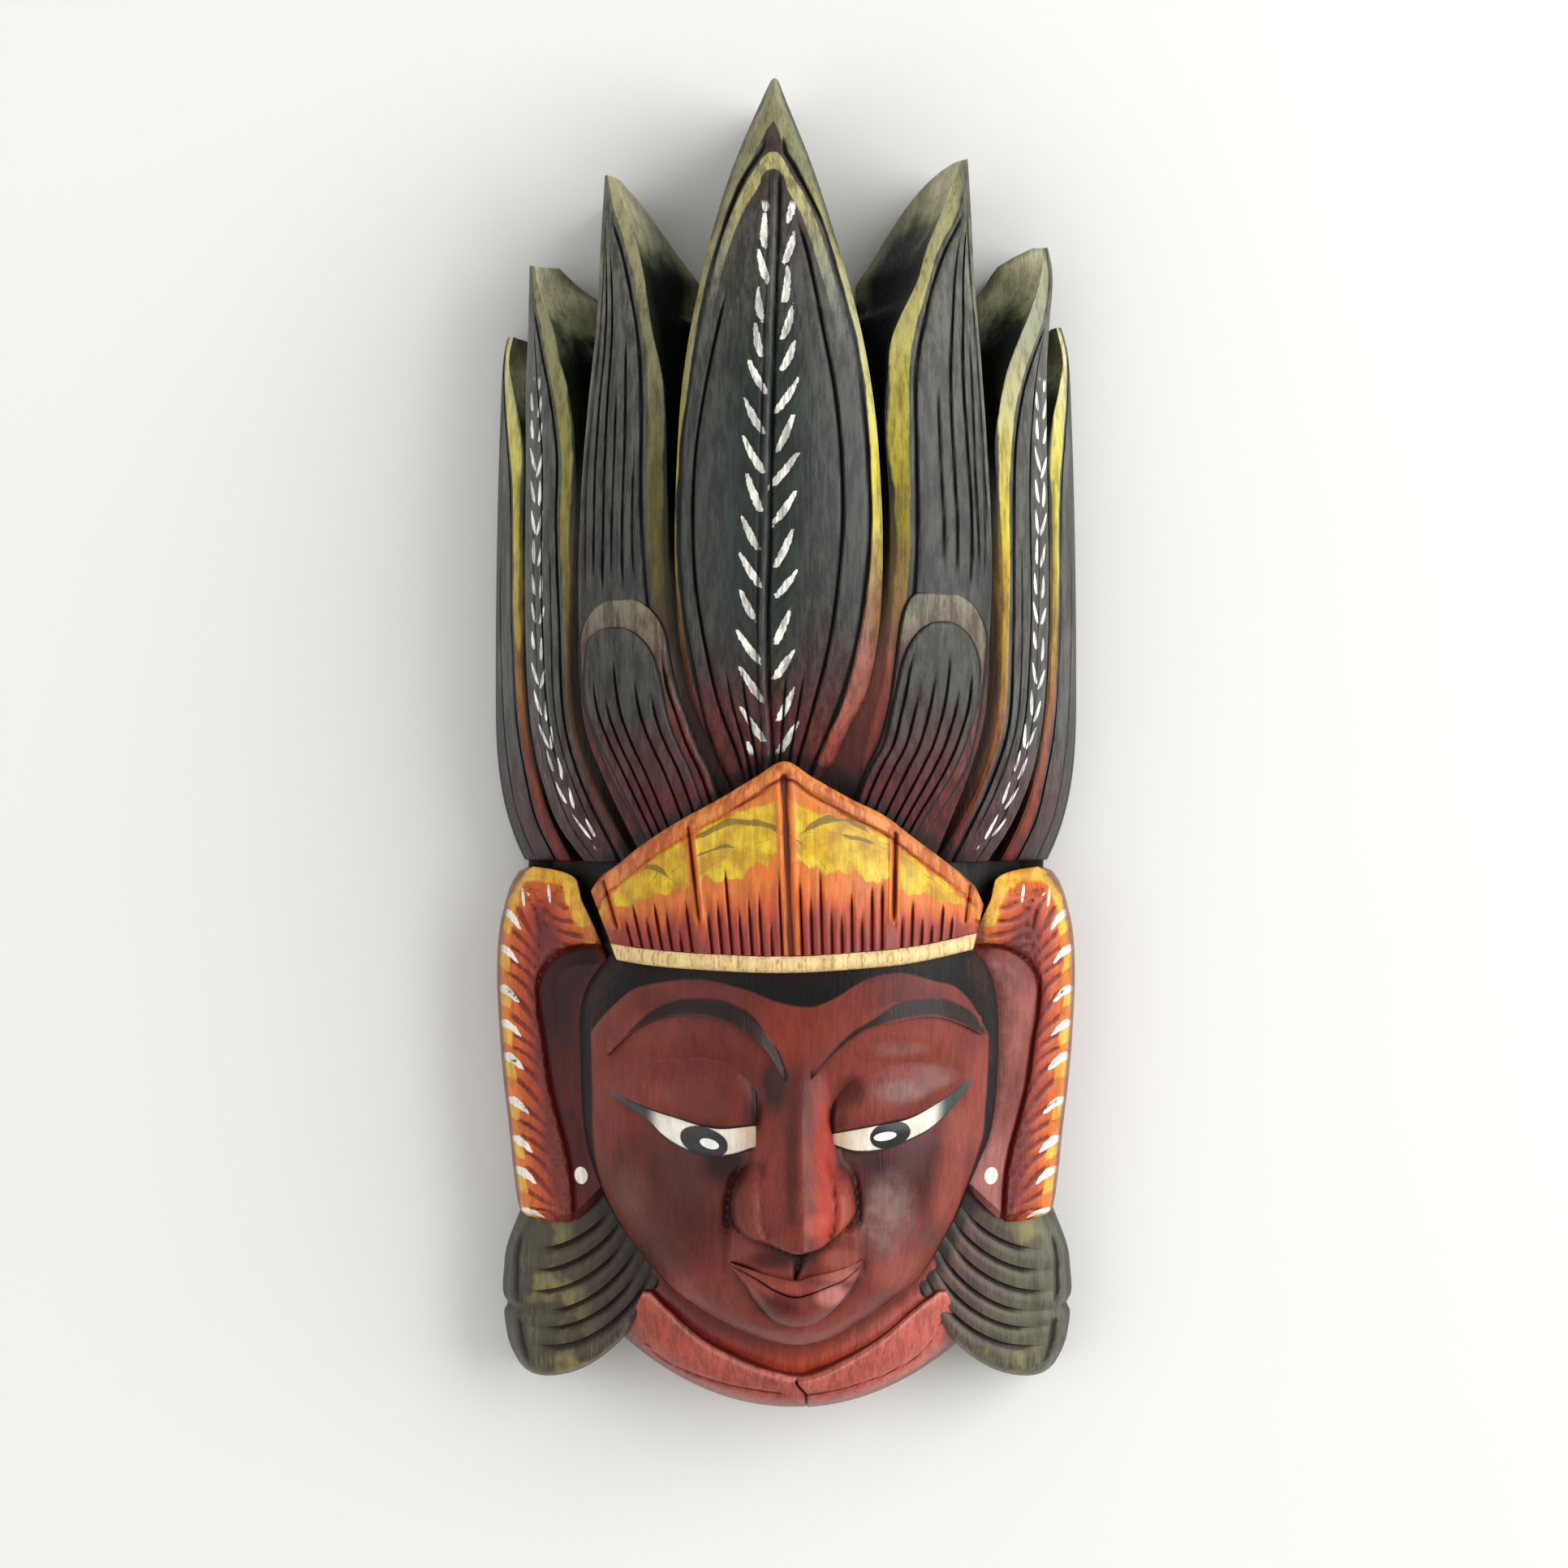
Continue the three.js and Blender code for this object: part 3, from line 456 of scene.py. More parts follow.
def white_dabs():
    """Rows of short brush dabs on both sides of a line: the along place is cut into cells of one
    pitch, each with its own jitter, and in each cell a leaning ellipse is filled, thin at its outer
    end. Barb is a fine gouged line between two dabs."""
    tree, given, out = group(
        "white dabs", [],
        {"Across": 0.0, "Along": 0.0, "Pitch": 11.0, "Reach": 6.0, "Aside": 0.0, "Half Length": 5.0,
         "Half Width": 1.2, "Lean": 0.4, "Shift": 0.23, "Ragged": 1.8}, ["Dab", "Barb"])
    side = reckon("SIGN", given["Across"])
    away = abs(given["Across"]) - (side * given["Aside"] + given["Reach"])
    rough = (cloudy(spot_on(tree), 620.0, 3.0) - 0.5) * given["Ragged"]
    for label, start, long, wide, frayed in (("Dab", given["Shift"], 1.0, 1.0, 1.0),
                                             ("Barb", 0.5, 1.25, 0.42, 0.3)):
        cells = side * start + given["Along"] / given["Pitch"]
        chance = chances(side * 57.3 + reckon("FLOOR", cells))
        up = uneven(reckon("FRACT", cells) - 0.5, chance[0], 0.2) * given["Pitch"]
        outward = uneven(away, chance[1], given["Half Width"])
        lean = uneven(given["Lean"], chance[2], 0.3)
        cosine, sine = reckon("COSINE", lean), reckon("SINE", lean)
        size = chance[1] * (0.4 * long) + 0.78 * long
        a = (up * cosine + outward * sine) / (given["Half Length"] * size)
        b = (outward * cosine - up * sine) / (given["Half Width"] * wide)
        b = a * a * 0.25 + b / (a * -0.3 + 1.0)
        fill(out, {label: fade(rough * frayed + (a * a + b * b), 1.1, 0.9)})
    return tree


dab_rows = white_dabs()
LEAF_BODY = [(0.0, "#441310"), (0.1, "#541a17"), (0.19, "#501f1d"), (0.26, "#422a28"), (0.33, "#3a3836"),
             (0.5, "#444541"), (0.8, "#55554e"), (0.95, "#4e4f44")]
LEAF_EDGE = [(0.0, "#4e1a18"), (0.12, "#6e2a22"), (0.22, "#8c4034"), (0.3, "#84502c"), (0.38, "#8e642c"),
             (0.43, "#b0974a"), (0.47, "#c9b94a"), (0.56, "#d6cb3c"), (0.64, "#d3ca62"), (0.72, "#c6c082"),
             (0.84, "#a5a272"), (0.93, "#8e8c5e"), (1.0, "#7c7d5a")]


def leaf_paint(name, dabs=None, green=0.0, web=1.0, body_stops=LEAF_BODY, edge_stops=LEAF_EDGE, arch=False,
               left_shading=1.0):
    """A crown leaf: mottled grey-black over a maroon foot, a streaky border that runs from olive at
    the tip through cream and yellow to brown, with painted shade that dulls it in the middle of the
    left side, and web faces that sink from olive to black, partly paint and partly painted light and
    shade."""
    material, tree = new_paint(name)
    x, height = plan_on(tree)
    across, along = lay_on(tree)
    grain = grain_at(tree)
    blotch = uneven(height, grain["Broad"], 9.0)
    streaky = uneven(blotch, grain["Mottle"], 12.0)
    body = shades((streaky + 40.0) / 260.0, *body_stops)
    if green:
        middle = fade(abs(across), 6.0, 19.0, 1.0, 0.0)
        span = fade(streaky, 14.0, 55.0) * fade(streaky, 168.0, 120.0)
        body = blend(middle * span * green, body, "#0f241b")
    border = mark(tree, "border")
    ragged = uneven(border, grain["Broad"], 0.9)
    edge_colour = shades((streaky + 40.0) / 240.0, *edge_stops)
    # Painted shade: by its place across the mask, the border on the left gives way to a duller colour, as
    # it lies in the middle leaf's shadow.
    left_shade_share = shades(fade(x, -100.0, 100.0), (0.0, "#303030"), (0.06, "#5a5a5a"), (0.2, "#d8d8d8"),
                  (0.32, "#dcdcdc"), (0.4, "#b4b4b4"), (0.45, "#b4b4b4"), (0.53, "#000000"),
                  (1.0, "#000000"))
    shaded_edge_colour = shades(streaky / 200.0, (0.1, "#4c2219"), (0.2, "#58341c"), (0.28, "#7a681c"),
                         (0.45, "#8f8120"), (0.6, "#80783a"), (0.8, "#948e60"))
    edge_colour = blend(left_shade_share * left_shading, edge_colour, shaded_edge_colour)
    edge_streak = grain["Mottle"] * 0.5 + grain["Fine"] * 0.5
    edge_colour = blend(fade(edge_streak, 0.42, 0.1, 0.0, 0.4), edge_colour, "#4e4420")
    colour = blend(fade(ragged, 0.25, -0.25), body, edge_colour)
    if arch:
        second = blend(fade(height, 196.0, 150.0), "#a39c66", "#74766a")
        inside = fade(mark(tree, "tip"), -0.3, 0.4) * fade(height, 126.0, 165.0)
        colour = blend(inside, colour, second)
        on_rib = fade(abs(across), 1.1, 0.5, 0.0, 0.5)
        colour = blend(on_rib * fade(height, 190.0, 170.0), colour, "#5c5c5a")
    hollow = mark(tree, "hollow")
    if web:
        past = uneven(border, grain["Broad"], 1.2) + fade(height, 70.0, 145.0, 3.9, 5.7)
        on_web = fade(past, 0.0, -1.0)
        below_tip = uneven(mark(tree, "tip"), grain["Broad"], 12.0)
        # The web faces go from olive at the top to black in the deep: partly paint, partly painted light
        # on the open tops and painted shade down in the valley.
        deep = shades(below_tip / 80.0, (0.0, "#d0ccaa"), (0.12, "#c8c4a0"), (0.23, "#b0af88"),
                      (0.3, "#6c7056"), (0.36, "#2c2e26"), (0.43, "#0f100d"), (0.52, "#030303"),
                      (1.0, "#020202"))
        # Near the foot the web takes a darker copy of the border colour as painted shade; the web factor
        # lifts the feather leaves' web colours as painted light against their own shadow.
        at_foot = tinted(edge_colour, 0.42, 0.36, 0.34)
        deep = blend(fade(height, 92.0, 56.0), tinted(deep, web, web, web), at_foot)
        colour = blend(on_web, colour, deep)
        by_rim = fade(border, -13.0, -8.0) * fade(below_tip, 70.0, 50.0) * on_web
        colour = blend(by_rim * 0.2, colour, "#5a5c40")
        # Painted shade: the deepest parts of the valleys go near black.
        sunk = fade(border, -18.0, -38.0, 0.0, 0.9) * fade(height, 56.0, 92.0)
        colour = blend(sunk, colour, "#060706")
        to_edge = mark(tree, "brow")
        outer = fade(grain["Broad"] * 2.0 + to_edge, 7.0, 2.0) * fade(below_tip, 64.0, 44.0)
        thin_edge = fade(to_edge, 1.5, 0.9) * fade(height, 40.0, 90.0)
        outer = reckon("MAXIMUM", outer * 0.85, thin_edge * 0.6)
        outer = outer * fade(past, 0.0, -1.0, 0.35, 1.0)
        colour = blend(outer, colour, "#a3a284")
        # Less wash and painted shade on the open web tops.
        open_top = on_web * fade(below_tip, 66.0, 40.0)
        hollow = hollow * fade(open_top, 0.0, 1.0, 1.0, 0.1)
    if dabs:
        closing = {}
        for part, at_tip in dabs.get("at_tip", {}).items():
            closing[part] = fade(height, 100.0, 172.0, dabs["size"][part], at_tip)
        rows = use(tree, dab_rows, {"Across": across, "Along": along, **dabs["size"], **closing})
        low, high = dabs["span"]
        reach = fade(height, low - 1, low + 1) * fade(height, high + 1, high - 1)
        colour = blend(rows["Barb"] * reach * dabs["barbs"], colour, "#0d0f0e")
        thin = fade(grain["Fine"], 0.0, 0.3, 0.7, 1.0)
        colour = blend(rows["Dab"] * reach * thin, colour, dabs["shade"])
    colour = walled(colour, "#1e1e1c", 0.1, 0.6)
    streak = fade(ragged, 0.25, -0.25, 0.75, 0.35)
    coat = fade(border, -7.5, -5.0, 0.0, 0.12) if web else 0.12
    return finish(material, colour, "#0c0b0b", "#77797a", streak=streak, worn=0.22, gloss=0.42, coat=coat,
                  hollow=hollow)


middle_leaf_paint = leaf_paint(
    "middle leaf paint", green=0.85, web=0, arch=True,
    edge_stops=[(0.0, "#5c1f1a"), (0.09, "#702a24"), (0.17, "#8a4036"), (0.23, "#985648"),
                (0.3, "#946052"), (0.375, "#88623e"), (0.43, "#9c8448"), (0.48, "#bfae4c"),
                (0.56, "#cfc23e"), (0.64, "#d0c868"), (0.72, "#c4be84"), (0.84, "#a5a272"),
                (0.93, "#8e8c5e"), (1.0, "#7c7d5a")],
    body_stops=[(0.0, "#461310"), (0.12, "#581c18"), (0.19, "#542220"), (0.25, "#402c2a"),
                (0.31, "#383734"), (0.5, "#383a37"), (0.72, "#42423e"), (0.82, "#443e3a"),
                (0.9, "#3c3330")],
    dabs={"span": (-1, 183), "barbs": 0.6, "shade": "#dfe0d8", "at_tip": {"Reach": 4.2, "Lean": 0.15},
          "size": {"Pitch": 12.6, "Reach": 5.9, "Aside": 1.3, "Half Length": 7.0, "Half Width": 1.2,
                   "Lean": 0.5}})

MIDDLE_LEFT = curve((-26, -15), (-5, -24), (15, -31.5), (33, -35.2), (60, -37), (90, -36.7), (128, -34),
                    (165, -27), (195, -18.7), (222, -8), (228.3, -5.2))
MIDDLE_RIGHT = curve((-26, 4), (-4, 17), (4, 19.9), (19, 26.8), (27, 28.9), (44, 31.4), (66, 32.2),
                     (87, 31.6), (114, 29.5), (142, 24.7), (170, 17.2), (198, 8.6), (220, 0.4),
                     (228.3, -2.6))
MIDRIB = curve((-26, -5.5), (0, -6.3), (33, -8.2), (60, -7.4), (100, -6.6), (141, -5.5), (180, -4.2),
               (228, -3.6))
GROOVE_LEFT = curve((-26, -13.5), (-1.5, -24.1), (12, -27.8), (25.5, -30.7), (48, -34.4), (74, -36),
                    (98, -35.2), (120, -32.2), (136, -29.8), (153, -26.6), (169, -22.6), (181, -18.6),
                    (192, -14), (201, -8.3), (206, -4.8))
GROOVE_RIGHT = curve((-26, 0.5), (-4.2, 9.3), (5.3, 13.4), (16, 17.7), (33.5, 22.7), (52, 25.9),
                     (73.6, 27.8), (95, 27.2), (117, 25.4), (133, 23.5), (146, 20.6), (161, 16.6),
                     (175, 12.6), (186, 7.7), (197, 1.8), (206, -4))
INNER_LEFT = curve((-26, -10), (-4.2, -15.4), (15, -22.3), (33.5, -26.6), (55, -30), (76, -30.9),
                   (98, -30), (120, -26.8), (141, -22.5), (155, -19.3), (169, -15.9), (183, -11),
                   (195, -6.4))
INNER_RIGHT = curve((-26, -3), (-1.5, 4.5), (17.4, 9.8), (33.4, 13.8), (55, 17), (76, 18.6), (98, 18.1),
                    (119, 16), (138, 12.5), (158, 8.7), (169, 6.1), (183, 1.7), (194, -2.3))
BORDER_LEFT = curve((-26, -14.3), (-1.5, -24.9), (12, -28.6), (25.5, -31.5), (48, -35.2), (74, -36.8),
                    (98, -35.4), (120, -32.8), (137, -30.4), (153, -27.5), (169, -23.7), (182, -19.4),
                    (193, -14.6), (201, -10.5), (207, -7.8), (212, -4.3), (218, 4))
BORDER_RIGHT = curve((-26, 1), (-4.2, 9.9), (5.3, 14.5), (23, 21.4), (44, 25.4), (66, 28.1), (87, 28.6),
                     (109, 27.5), (126, 25.4), (140, 22.7), (152, 19.3), (166, 15.5), (179, 11.2),
                     (189, 6.6), (199, 1.8), (205, -1), (212, -4.3), (218, -11))
ARCH_LEFT = curve((100, -33.5), (133, -29), (151, -25.8), (165, -22.9), (175, -20), (186, -15.4),
                  (195, -10.5), (200, -6.6), (201.4, -4.2), (203, 6))
ARCH_RIGHT = curve((100, 25), (125, 21.6), (147, 18.4), (163, 14.4), (175, 10.7), (185, 6.6), (193, 1.7),
                   (200, -2.3), (201.4, -4.2), (203, -14))
ARCH_INSIDE_LEFT = curve((100, -31), (133, -26.8), (148, -23.9), (163, -20.4), (173, -17.2), (182, -13.2),
                         (189, -8.9), (194.3, -6.2), (195, -4.2), (197, 6))
ARCH_INSIDE_RIGHT = curve((100, 23), (125, 19.2), (144, 15.5), (156, 12.3), (169, 8.5), (180, 4.5),
                          (187, 0.7), (194, -2.3), (195, -4.2), (197, -14))


def middle_leaf(u, v):
    """A lens on the log between its two edges. u runs across: 0 is the midrib, 0.5 the inner groove,
    0.9 the groove beside the border and 1 the edge; v runs up from under the headband to the tip."""
    proud = curve((-26, -4), (0, -0.5), (40, 3.6), (90, 5))
    lens = curve((-26, 1), (0, 1.5), (60, 4), (90, 4))
    y = mix(-26, 228.3, v ** 0.92)
    left, right = MIDDLE_LEFT(y), MIDDLE_RIGHT(y)
    rib = np.clip(MIDRIB(y), mix(left, right, 0.42), mix(left, right, 0.58))
    edge = np.where(u < 0, left, right)
    at_groove = (np.where(u < 0, GROOVE_LEFT(y), GROOVE_RIGHT(y)) - rib) / (edge - rib)
    at_groove = np.clip(at_groove, 0.3, 0.955)
    at_inner = (np.where(u < 0, INNER_LEFT(y), INNER_RIGHT(y)) - rib) / (edge - rib)
    at_inner = np.clip(at_inner, 0.12, at_groove - 0.12)
    size = abs(u)
    share = np.where(size > 0.9, mix(at_groove, 1, (size - 0.9) / 0.1),
                     np.where(size < 0.5, size / 0.5 * at_inner,
                              mix(at_inner, at_groove, (size - 0.5) / 0.4)))
    x = mix(rib, edge, share)
    half = (right - left) / 2
    s = (x - left) / half - 1
    bevel = 3.6 * (1 - np.clip((1 - abs(s)) * half / 3.2, 0, 1))
    span = abs(edge - rib)
    groove = notch((share - at_groove) * span, 1.3) * between(y, -40, 202, 8)
    inner = notch((share - at_inner) * span, 1.0) * between(y, 0, np.where(u < 0, 140, 166), 18)
    ribs = (np.maximum(0.95 * notch(x - rib - 1.9, 1.1), 0.5 * notch(x - rib + 1.7, 0.9))
            * between(y, -5, 188, 10))
    foot = notch(np.minimum(abs(size - 0.2), abs(size - 0.35)) * 2 * at_inner * span, 0.9)
    cut = np.maximum.reduce([groove, inner, ribs, 0.9 * foot * between(y, -40, 12, 22)])
    z = log_front(x, y) + proud(y) + lens(y) * (1 - s * s) - bevel - 1.7 * cut
    z = z + 1.0 * notch(x - rib, 1.0) * between(y, 0, 186, 10)
    border = np.minimum(x - BORDER_LEFT(y), BORDER_RIGHT(y) - x)
    arch = np.minimum(np.minimum(x - ARCH_LEFT(y), ARCH_RIGHT(y) - x),
                      -np.minimum(x - ARCH_INSIDE_LEFT(y), ARCH_INSIDE_RIGHT(y) - x))
    return x, y, z, {"across": x - MIDRIB(y), "length": y, "border": border, "tip": arch, "cut": cut}


half_columns = np.concatenate([[0, 0.01, 0.02, 0.03, 0.04, 0.052, 0.066, 0.09, 0.12, 0.15],
                               0.2 + 0.02 * np.arange(-1, 2),
                               [0.25, 0.3], 0.35 + 0.02 * np.arange(-1, 2), [0.4, 0.44],
                               [0.47, 0.48, 0.49, 0.5, 0.525, 0.55, 0.58], np.linspace(0.63, 0.81, 5),
                               0.9 + 0.09 * np.array([-0.75, -0.5, -0.25, 0, 0.25, 0.5, 0.75, 0.95]), [1]])
carved(middle_leaf_paint, np.concatenate([-half_columns[:0:-1], half_columns]), np.linspace(0, 1, 111),
       middle_leaf)


# The side leaves of the crown, three on each side. Each has a gouged face between a straight outer
# edge and a curved crest, a bevelled yellow rim, and a deep valley down to the next leaf, painted
# black partly as shade.

OUTER_BODY = [(0.0, "#3a1a1c"), (0.08, "#42282a"), (0.15, "#484040"), (0.21, "#4c4b48"), (0.5, "#4c4e4a"),
              (0.8, "#57574f"), (0.95, "#4e4f44")]
OUTER_EDGE = [(0.0, "#5a1c16"), (0.1, "#84321f"), (0.2, "#8c4a2a"), (0.28, "#96682c"), (0.35, "#b4983a"),
              (0.44, "#cbb944"), (0.58, "#cfc44e"), (0.68, "#cdc67a"), (0.78, "#cfca98"), (0.9, "#a5a272"),
              (1.0, "#8c8a64")]
# The side leaves get lit and shaded copies of one paint: the left ones darker as painted shade, the right
# ones brighter as painted light.
shaded_left_leaf_paint = leaf_paint("shaded left leaf paint", left_shading=0.0, edge_stops=[
    (0.0, "#4c1a16"), (0.2, "#58241a"), (0.29, "#54301e"), (0.375, "#4c401a"), (0.46, "#5a5220"),
    (0.56, "#5e5622"), (0.67, "#6a6640"), (0.79, "#7e7a54"), (0.9, "#8c8862"), (1.0, "#98946c")])
lit_right_leaf_paint = leaf_paint("lit right leaf paint", left_shading=0.0, edge_stops=[
    (0.0, "#541a16"), (0.2, "#7c3028"), (0.28, "#93523c"), (0.33, "#9c7050"), (0.39, "#86683c"),
    (0.46, "#7c6c2c"), (0.52, "#8c7e22"), (0.58, "#968824"), (0.67, "#aea040"), (0.77, "#b4aa60"),
    (0.87, "#aca874"), (1.0, "#8c8c68")])
outer_leaf_paint = leaf_paint("outer leaf paint", body_stops=OUTER_BODY, edge_stops=OUTER_EDGE)
FEATHER_DABS = {"span": (-33, 128), "barbs": 0.0, "shade": "#efefe8",
                "size": {"Pitch": 10.4, "Reach": 1.5, "Half Length": 3.9, "Half Width": 0.56, "Lean": 0.14,
                         "Shift": 0.09, "Ragged": 0.7}}
shaded_left_feather_paint = leaf_paint(
    "shaded left feather leaf paint", left_shading=0.0, web=1.5, body_stops=OUTER_BODY, dabs=FEATHER_DABS, edge_stops=[
        (0.0, "#4e1a16"), (0.1, "#5c2a1e"), (0.21, "#684a2a"), (0.31, "#72602e"), (0.42, "#786a32"),
        (0.54, "#8a8236"), (0.63, "#8c8648"), (0.77, "#8e8c66"), (0.9, "#8e8c66"), (1.0, "#8c8a68")])
lit_right_feather_paint = leaf_paint(
    "lit right feather leaf paint", left_shading=0.0, web=1.5, body_stops=OUTER_BODY, dabs=FEATHER_DABS, edge_stops=[
        (0.0, "#5a1c16"), (0.1, "#7c3626"), (0.2, "#8e5a30"), (0.3, "#a8803a"), (0.4, "#c4a22c"),
        (0.49, "#ceba2c"), (0.58, "#c6b850"), (0.66, "#b8b276"), (0.77, "#989a80"), (0.9, "#949474"),
        (1.0, "#8c8a68")])


def side_leaf(side, tip, proud, lines, outer, crest, rim, top, gap_from, beside, floor, round_log=False,
              rib=None, edge_line=(0, 0)):
    """u from 0 to 1 is the face from the outer edge round to the crest, 1 to 2 the bevel down to the
    rim, and 2 to 3 the valley; v runs up to the tip. x is reckoned away from the middle."""
    def face(u, v):
        y = mix(-38, tip, v ** 0.9)
        start = np.radians(outer(y)) if round_log else log_angle(outer(y), y)
        end = np.minimum(start - 0.004, log_angle(crest(y), y))
        crest_x = log_half(y) * np.sin(end)
        crest_z = log_front(crest_x, y) + proud
        rim_x = np.minimum(rim(y), crest_x - 0.4)
        rim_z = log_front(rim_x, y) + proud - 2.4
        share = np.clip(u, 0, 1)
        x = log_half(y) * np.sin(mix(start, end, share))
        face_wide = np.maximum((start - end) * log_half(y), 0.3)
        cut = 0 * u
        for line, low, high, depth in lines:
            sway = 0.012 * np.sin(y / 13 + line * 40)
            cut = np.maximum(cut, depth * notch(share - line - sway, 0.034) * between(y, low, high, 16))
        beside_crest = notch((1 - share) * face_wide - 3.0, 1.2) * ease((face_wide - 6) / 4)
        beside_edge = 0.6 * notch(share * face_wide - 2.0, 0.8) * between(y, *edge_line, 14)
        cut = np.maximum.reduce([cut, beside_crest, beside_edge])
        z = log_front(x, y) + proud + 1.6 * 4 * share * (1 - share) - 1.5 * cut
        t = np.clip(u - 1, 0, 1)
        x = np.where(u > 1, mix(crest_x, rim_x, t), x)
        z = np.where(u > 1, mix(crest_z, rim_z, t), z)
        inside = beside(y) - 3
        stop = np.minimum(rim_x - 0.6, np.where(y < gap_from, inside, np.maximum(top(y), inside)))
        low = np.minimum(rim_z - 0.5, floor(y))
        t = np.clip(u - 2, 0, 1)
        x = np.where(u > 2, mix(rim_x, stop, t), x)
        z = np.where(u > 2, mix(rim_z, low, t ** 0.85), z)
        from_crest = np.where(u <= 1, (end - start) * (share - 1) * log_half(y) - 0.6, 0)
        from_crest = np.where(u > 1, -0.6 - 5.6 * np.clip(u - 1, 0, 1), from_crest)
        sunk = rim_z - z
        from_crest = np.where(u > 2, -6.2 - np.maximum(sunk * 0.55, (rim_x - x) * 0.5), from_crest)
        middle = rib(y) if rib else x
        to_outline = np.where(u > 2, (x - stop) * (y > gap_from) + 9 * (y <= gap_from), 9)
        to_outline = np.where(u < 1, share * face_wide + 0.2 + 9 * (1 - between(y, *edge_line, 10)),
                              to_outline)
        return side * x, y, z, {"across": side * (x - middle), "length": y, "border": from_crest,
                                "tip": tip - y, "brow": to_outline, "cut": np.where(u < 1, cut, 0)}
    return face


SECOND_LEFT_OUTER = curve((-38, 48), (-10, 61.5), (7, 68), (45, 70.3), (84, 69.5), (117, 67), (144, 64.3),
                          (173, 63), (196.5, 61.9))
SECOND_RIGHT_OUTER = curve((-38, 50), (7, 66.5), (40, 69), (67, 69.6), (106, 67.8), (133, 66), (161, 64),
                           (184, 63), (202.4, 62.2))
THIRD_LEFT_OUTER = curve((-38, 69), (-26, 78), (-10, 84), (7, 87.7), (35, 89.7), (100, 89.8), (125, 90),
                         (148, 89.3), (168.6, 89.1))
THIRD_RIGHT_OUTER = curve((-38, 69), (-26, 77), (-10, 84), (7, 88), (35, 90.3), (108, 90.1), (134, 90.4),
                          (148, 91.5), (168, 93), (175.6, 91.4))

SECOND_LEFT_LINES = [(0.1, 62, 140, 0.7), (0.22, 66, 162, 0.9), (0.36, 63, 158, 1), (0.49, 68, 112, 0.8),
                     (0.64, 64, 128, 0.9), (0.78, 66, 92, 0.7)]
SECOND_RIGHT_LINES = [(0.09, 66, 110, 0.6), (0.18, 68, 130, 0.8), (0.28, 66, 168, 1), (0.46, 70, 162, 0.9),
                      (0.62, 74, 112, 0.8)]
THIRD_LINES = [(0.3, -30, 70, 0.5), (0.5, 0, 134, 0.8), (0.7, -20, 60, 0.6)]
FOURTH_LINES = [(0.35, -40, 110, 0.8), (0.65, -30, 60, 0.7)]


def leaf_grid(lines, face_pitch, rows):
    """The grid of a side leaf: columns close together on its cut lines and over its crest."""
    us = columns(0, 1, face_pitch, [line[0] for line in lines], 0.04)
    us = np.unique(np.concatenate([us[us < 0.8], [0.03, 0.06, 0.1], np.linspace(0.8, 1, 12)]))
    return np.concatenate([us, [1.15, 1.5, 1.85, 2, 2.08, 2.2, 2.4, 2.6, 2.8, 3]]), np.linspace(0, 1, rows)


carved(shaded_left_leaf_paint, *leaf_grid(SECOND_LEFT_LINES, 0.06, 84), side_leaf(
    -1, 196.5, 1.5, SECOND_LEFT_LINES, SECOND_LEFT_OUTER,
    crest=curve((-38, 30), (20, 39), (50, 43.8), (77, 45.8), (121, 46), (138, 47.1), (155, 50),
                (169, 53.2), (181, 57), (196.5, 60.8)),
    rim=curve((-38, 25), (20, 35), (50, 38.6), (88, 39.7), (121, 41), (143, 45.2), (157, 47.5),
              (171.5, 50.4), (182, 53.4), (196.5, 59.4)),
    top=curve((165.8, 30.6), (173.3, 36.7), (186.5, 47.5), (192.3, 52.8), (196.5, 57.2)), gap_from=150,
    beside=lambda y: -MIDDLE_LEFT(y),
    floor=curve((-38, 77), (50, 86), (90, 76), (117, 60), (135, 40), (150, 24), (166, 12), (196.5, 50)),
    edge_line=(86, 172)))
carved(lit_right_leaf_paint, *leaf_grid(SECOND_RIGHT_LINES, 0.06, 84), side_leaf(
    1, 202.4, 1.5, SECOND_RIGHT_LINES, SECOND_RIGHT_OUTER,
    crest=curve((-38, 26), (2.7, 33), (24.5, 36.3), (40.8, 38.8), (61, 40.6), (77, 41), (99, 40.8),
                (129.5, 41), (143.5, 43.6), (157, 46.9), (169, 51.2), (181, 57), (202.4, 61.4)),
    rim=curve((-38, 19), (2.7, 24.4), (24.5, 30.4), (40.8, 33.6), (61, 34.6), (77, 34.7), (112, 32.9),
              (126, 34), (137, 35.2), (146, 38.6), (157, 43.7), (172, 48.5), (183, 52.9), (202.4, 60)),
    top=curve((165.8, 24.9), (173.5, 30.5), (183.8, 37.4), (193.6, 45.6), (199.3, 52.3), (202.4, 57.6)),
    gap_from=150, beside=MIDDLE_RIGHT,
    floor=curve((-38, 77), (50, 86), (90, 76), (117, 60), (135, 40), (150, 24), (166, 12), (202.4, 50)),
    edge_line=(84, 178)))

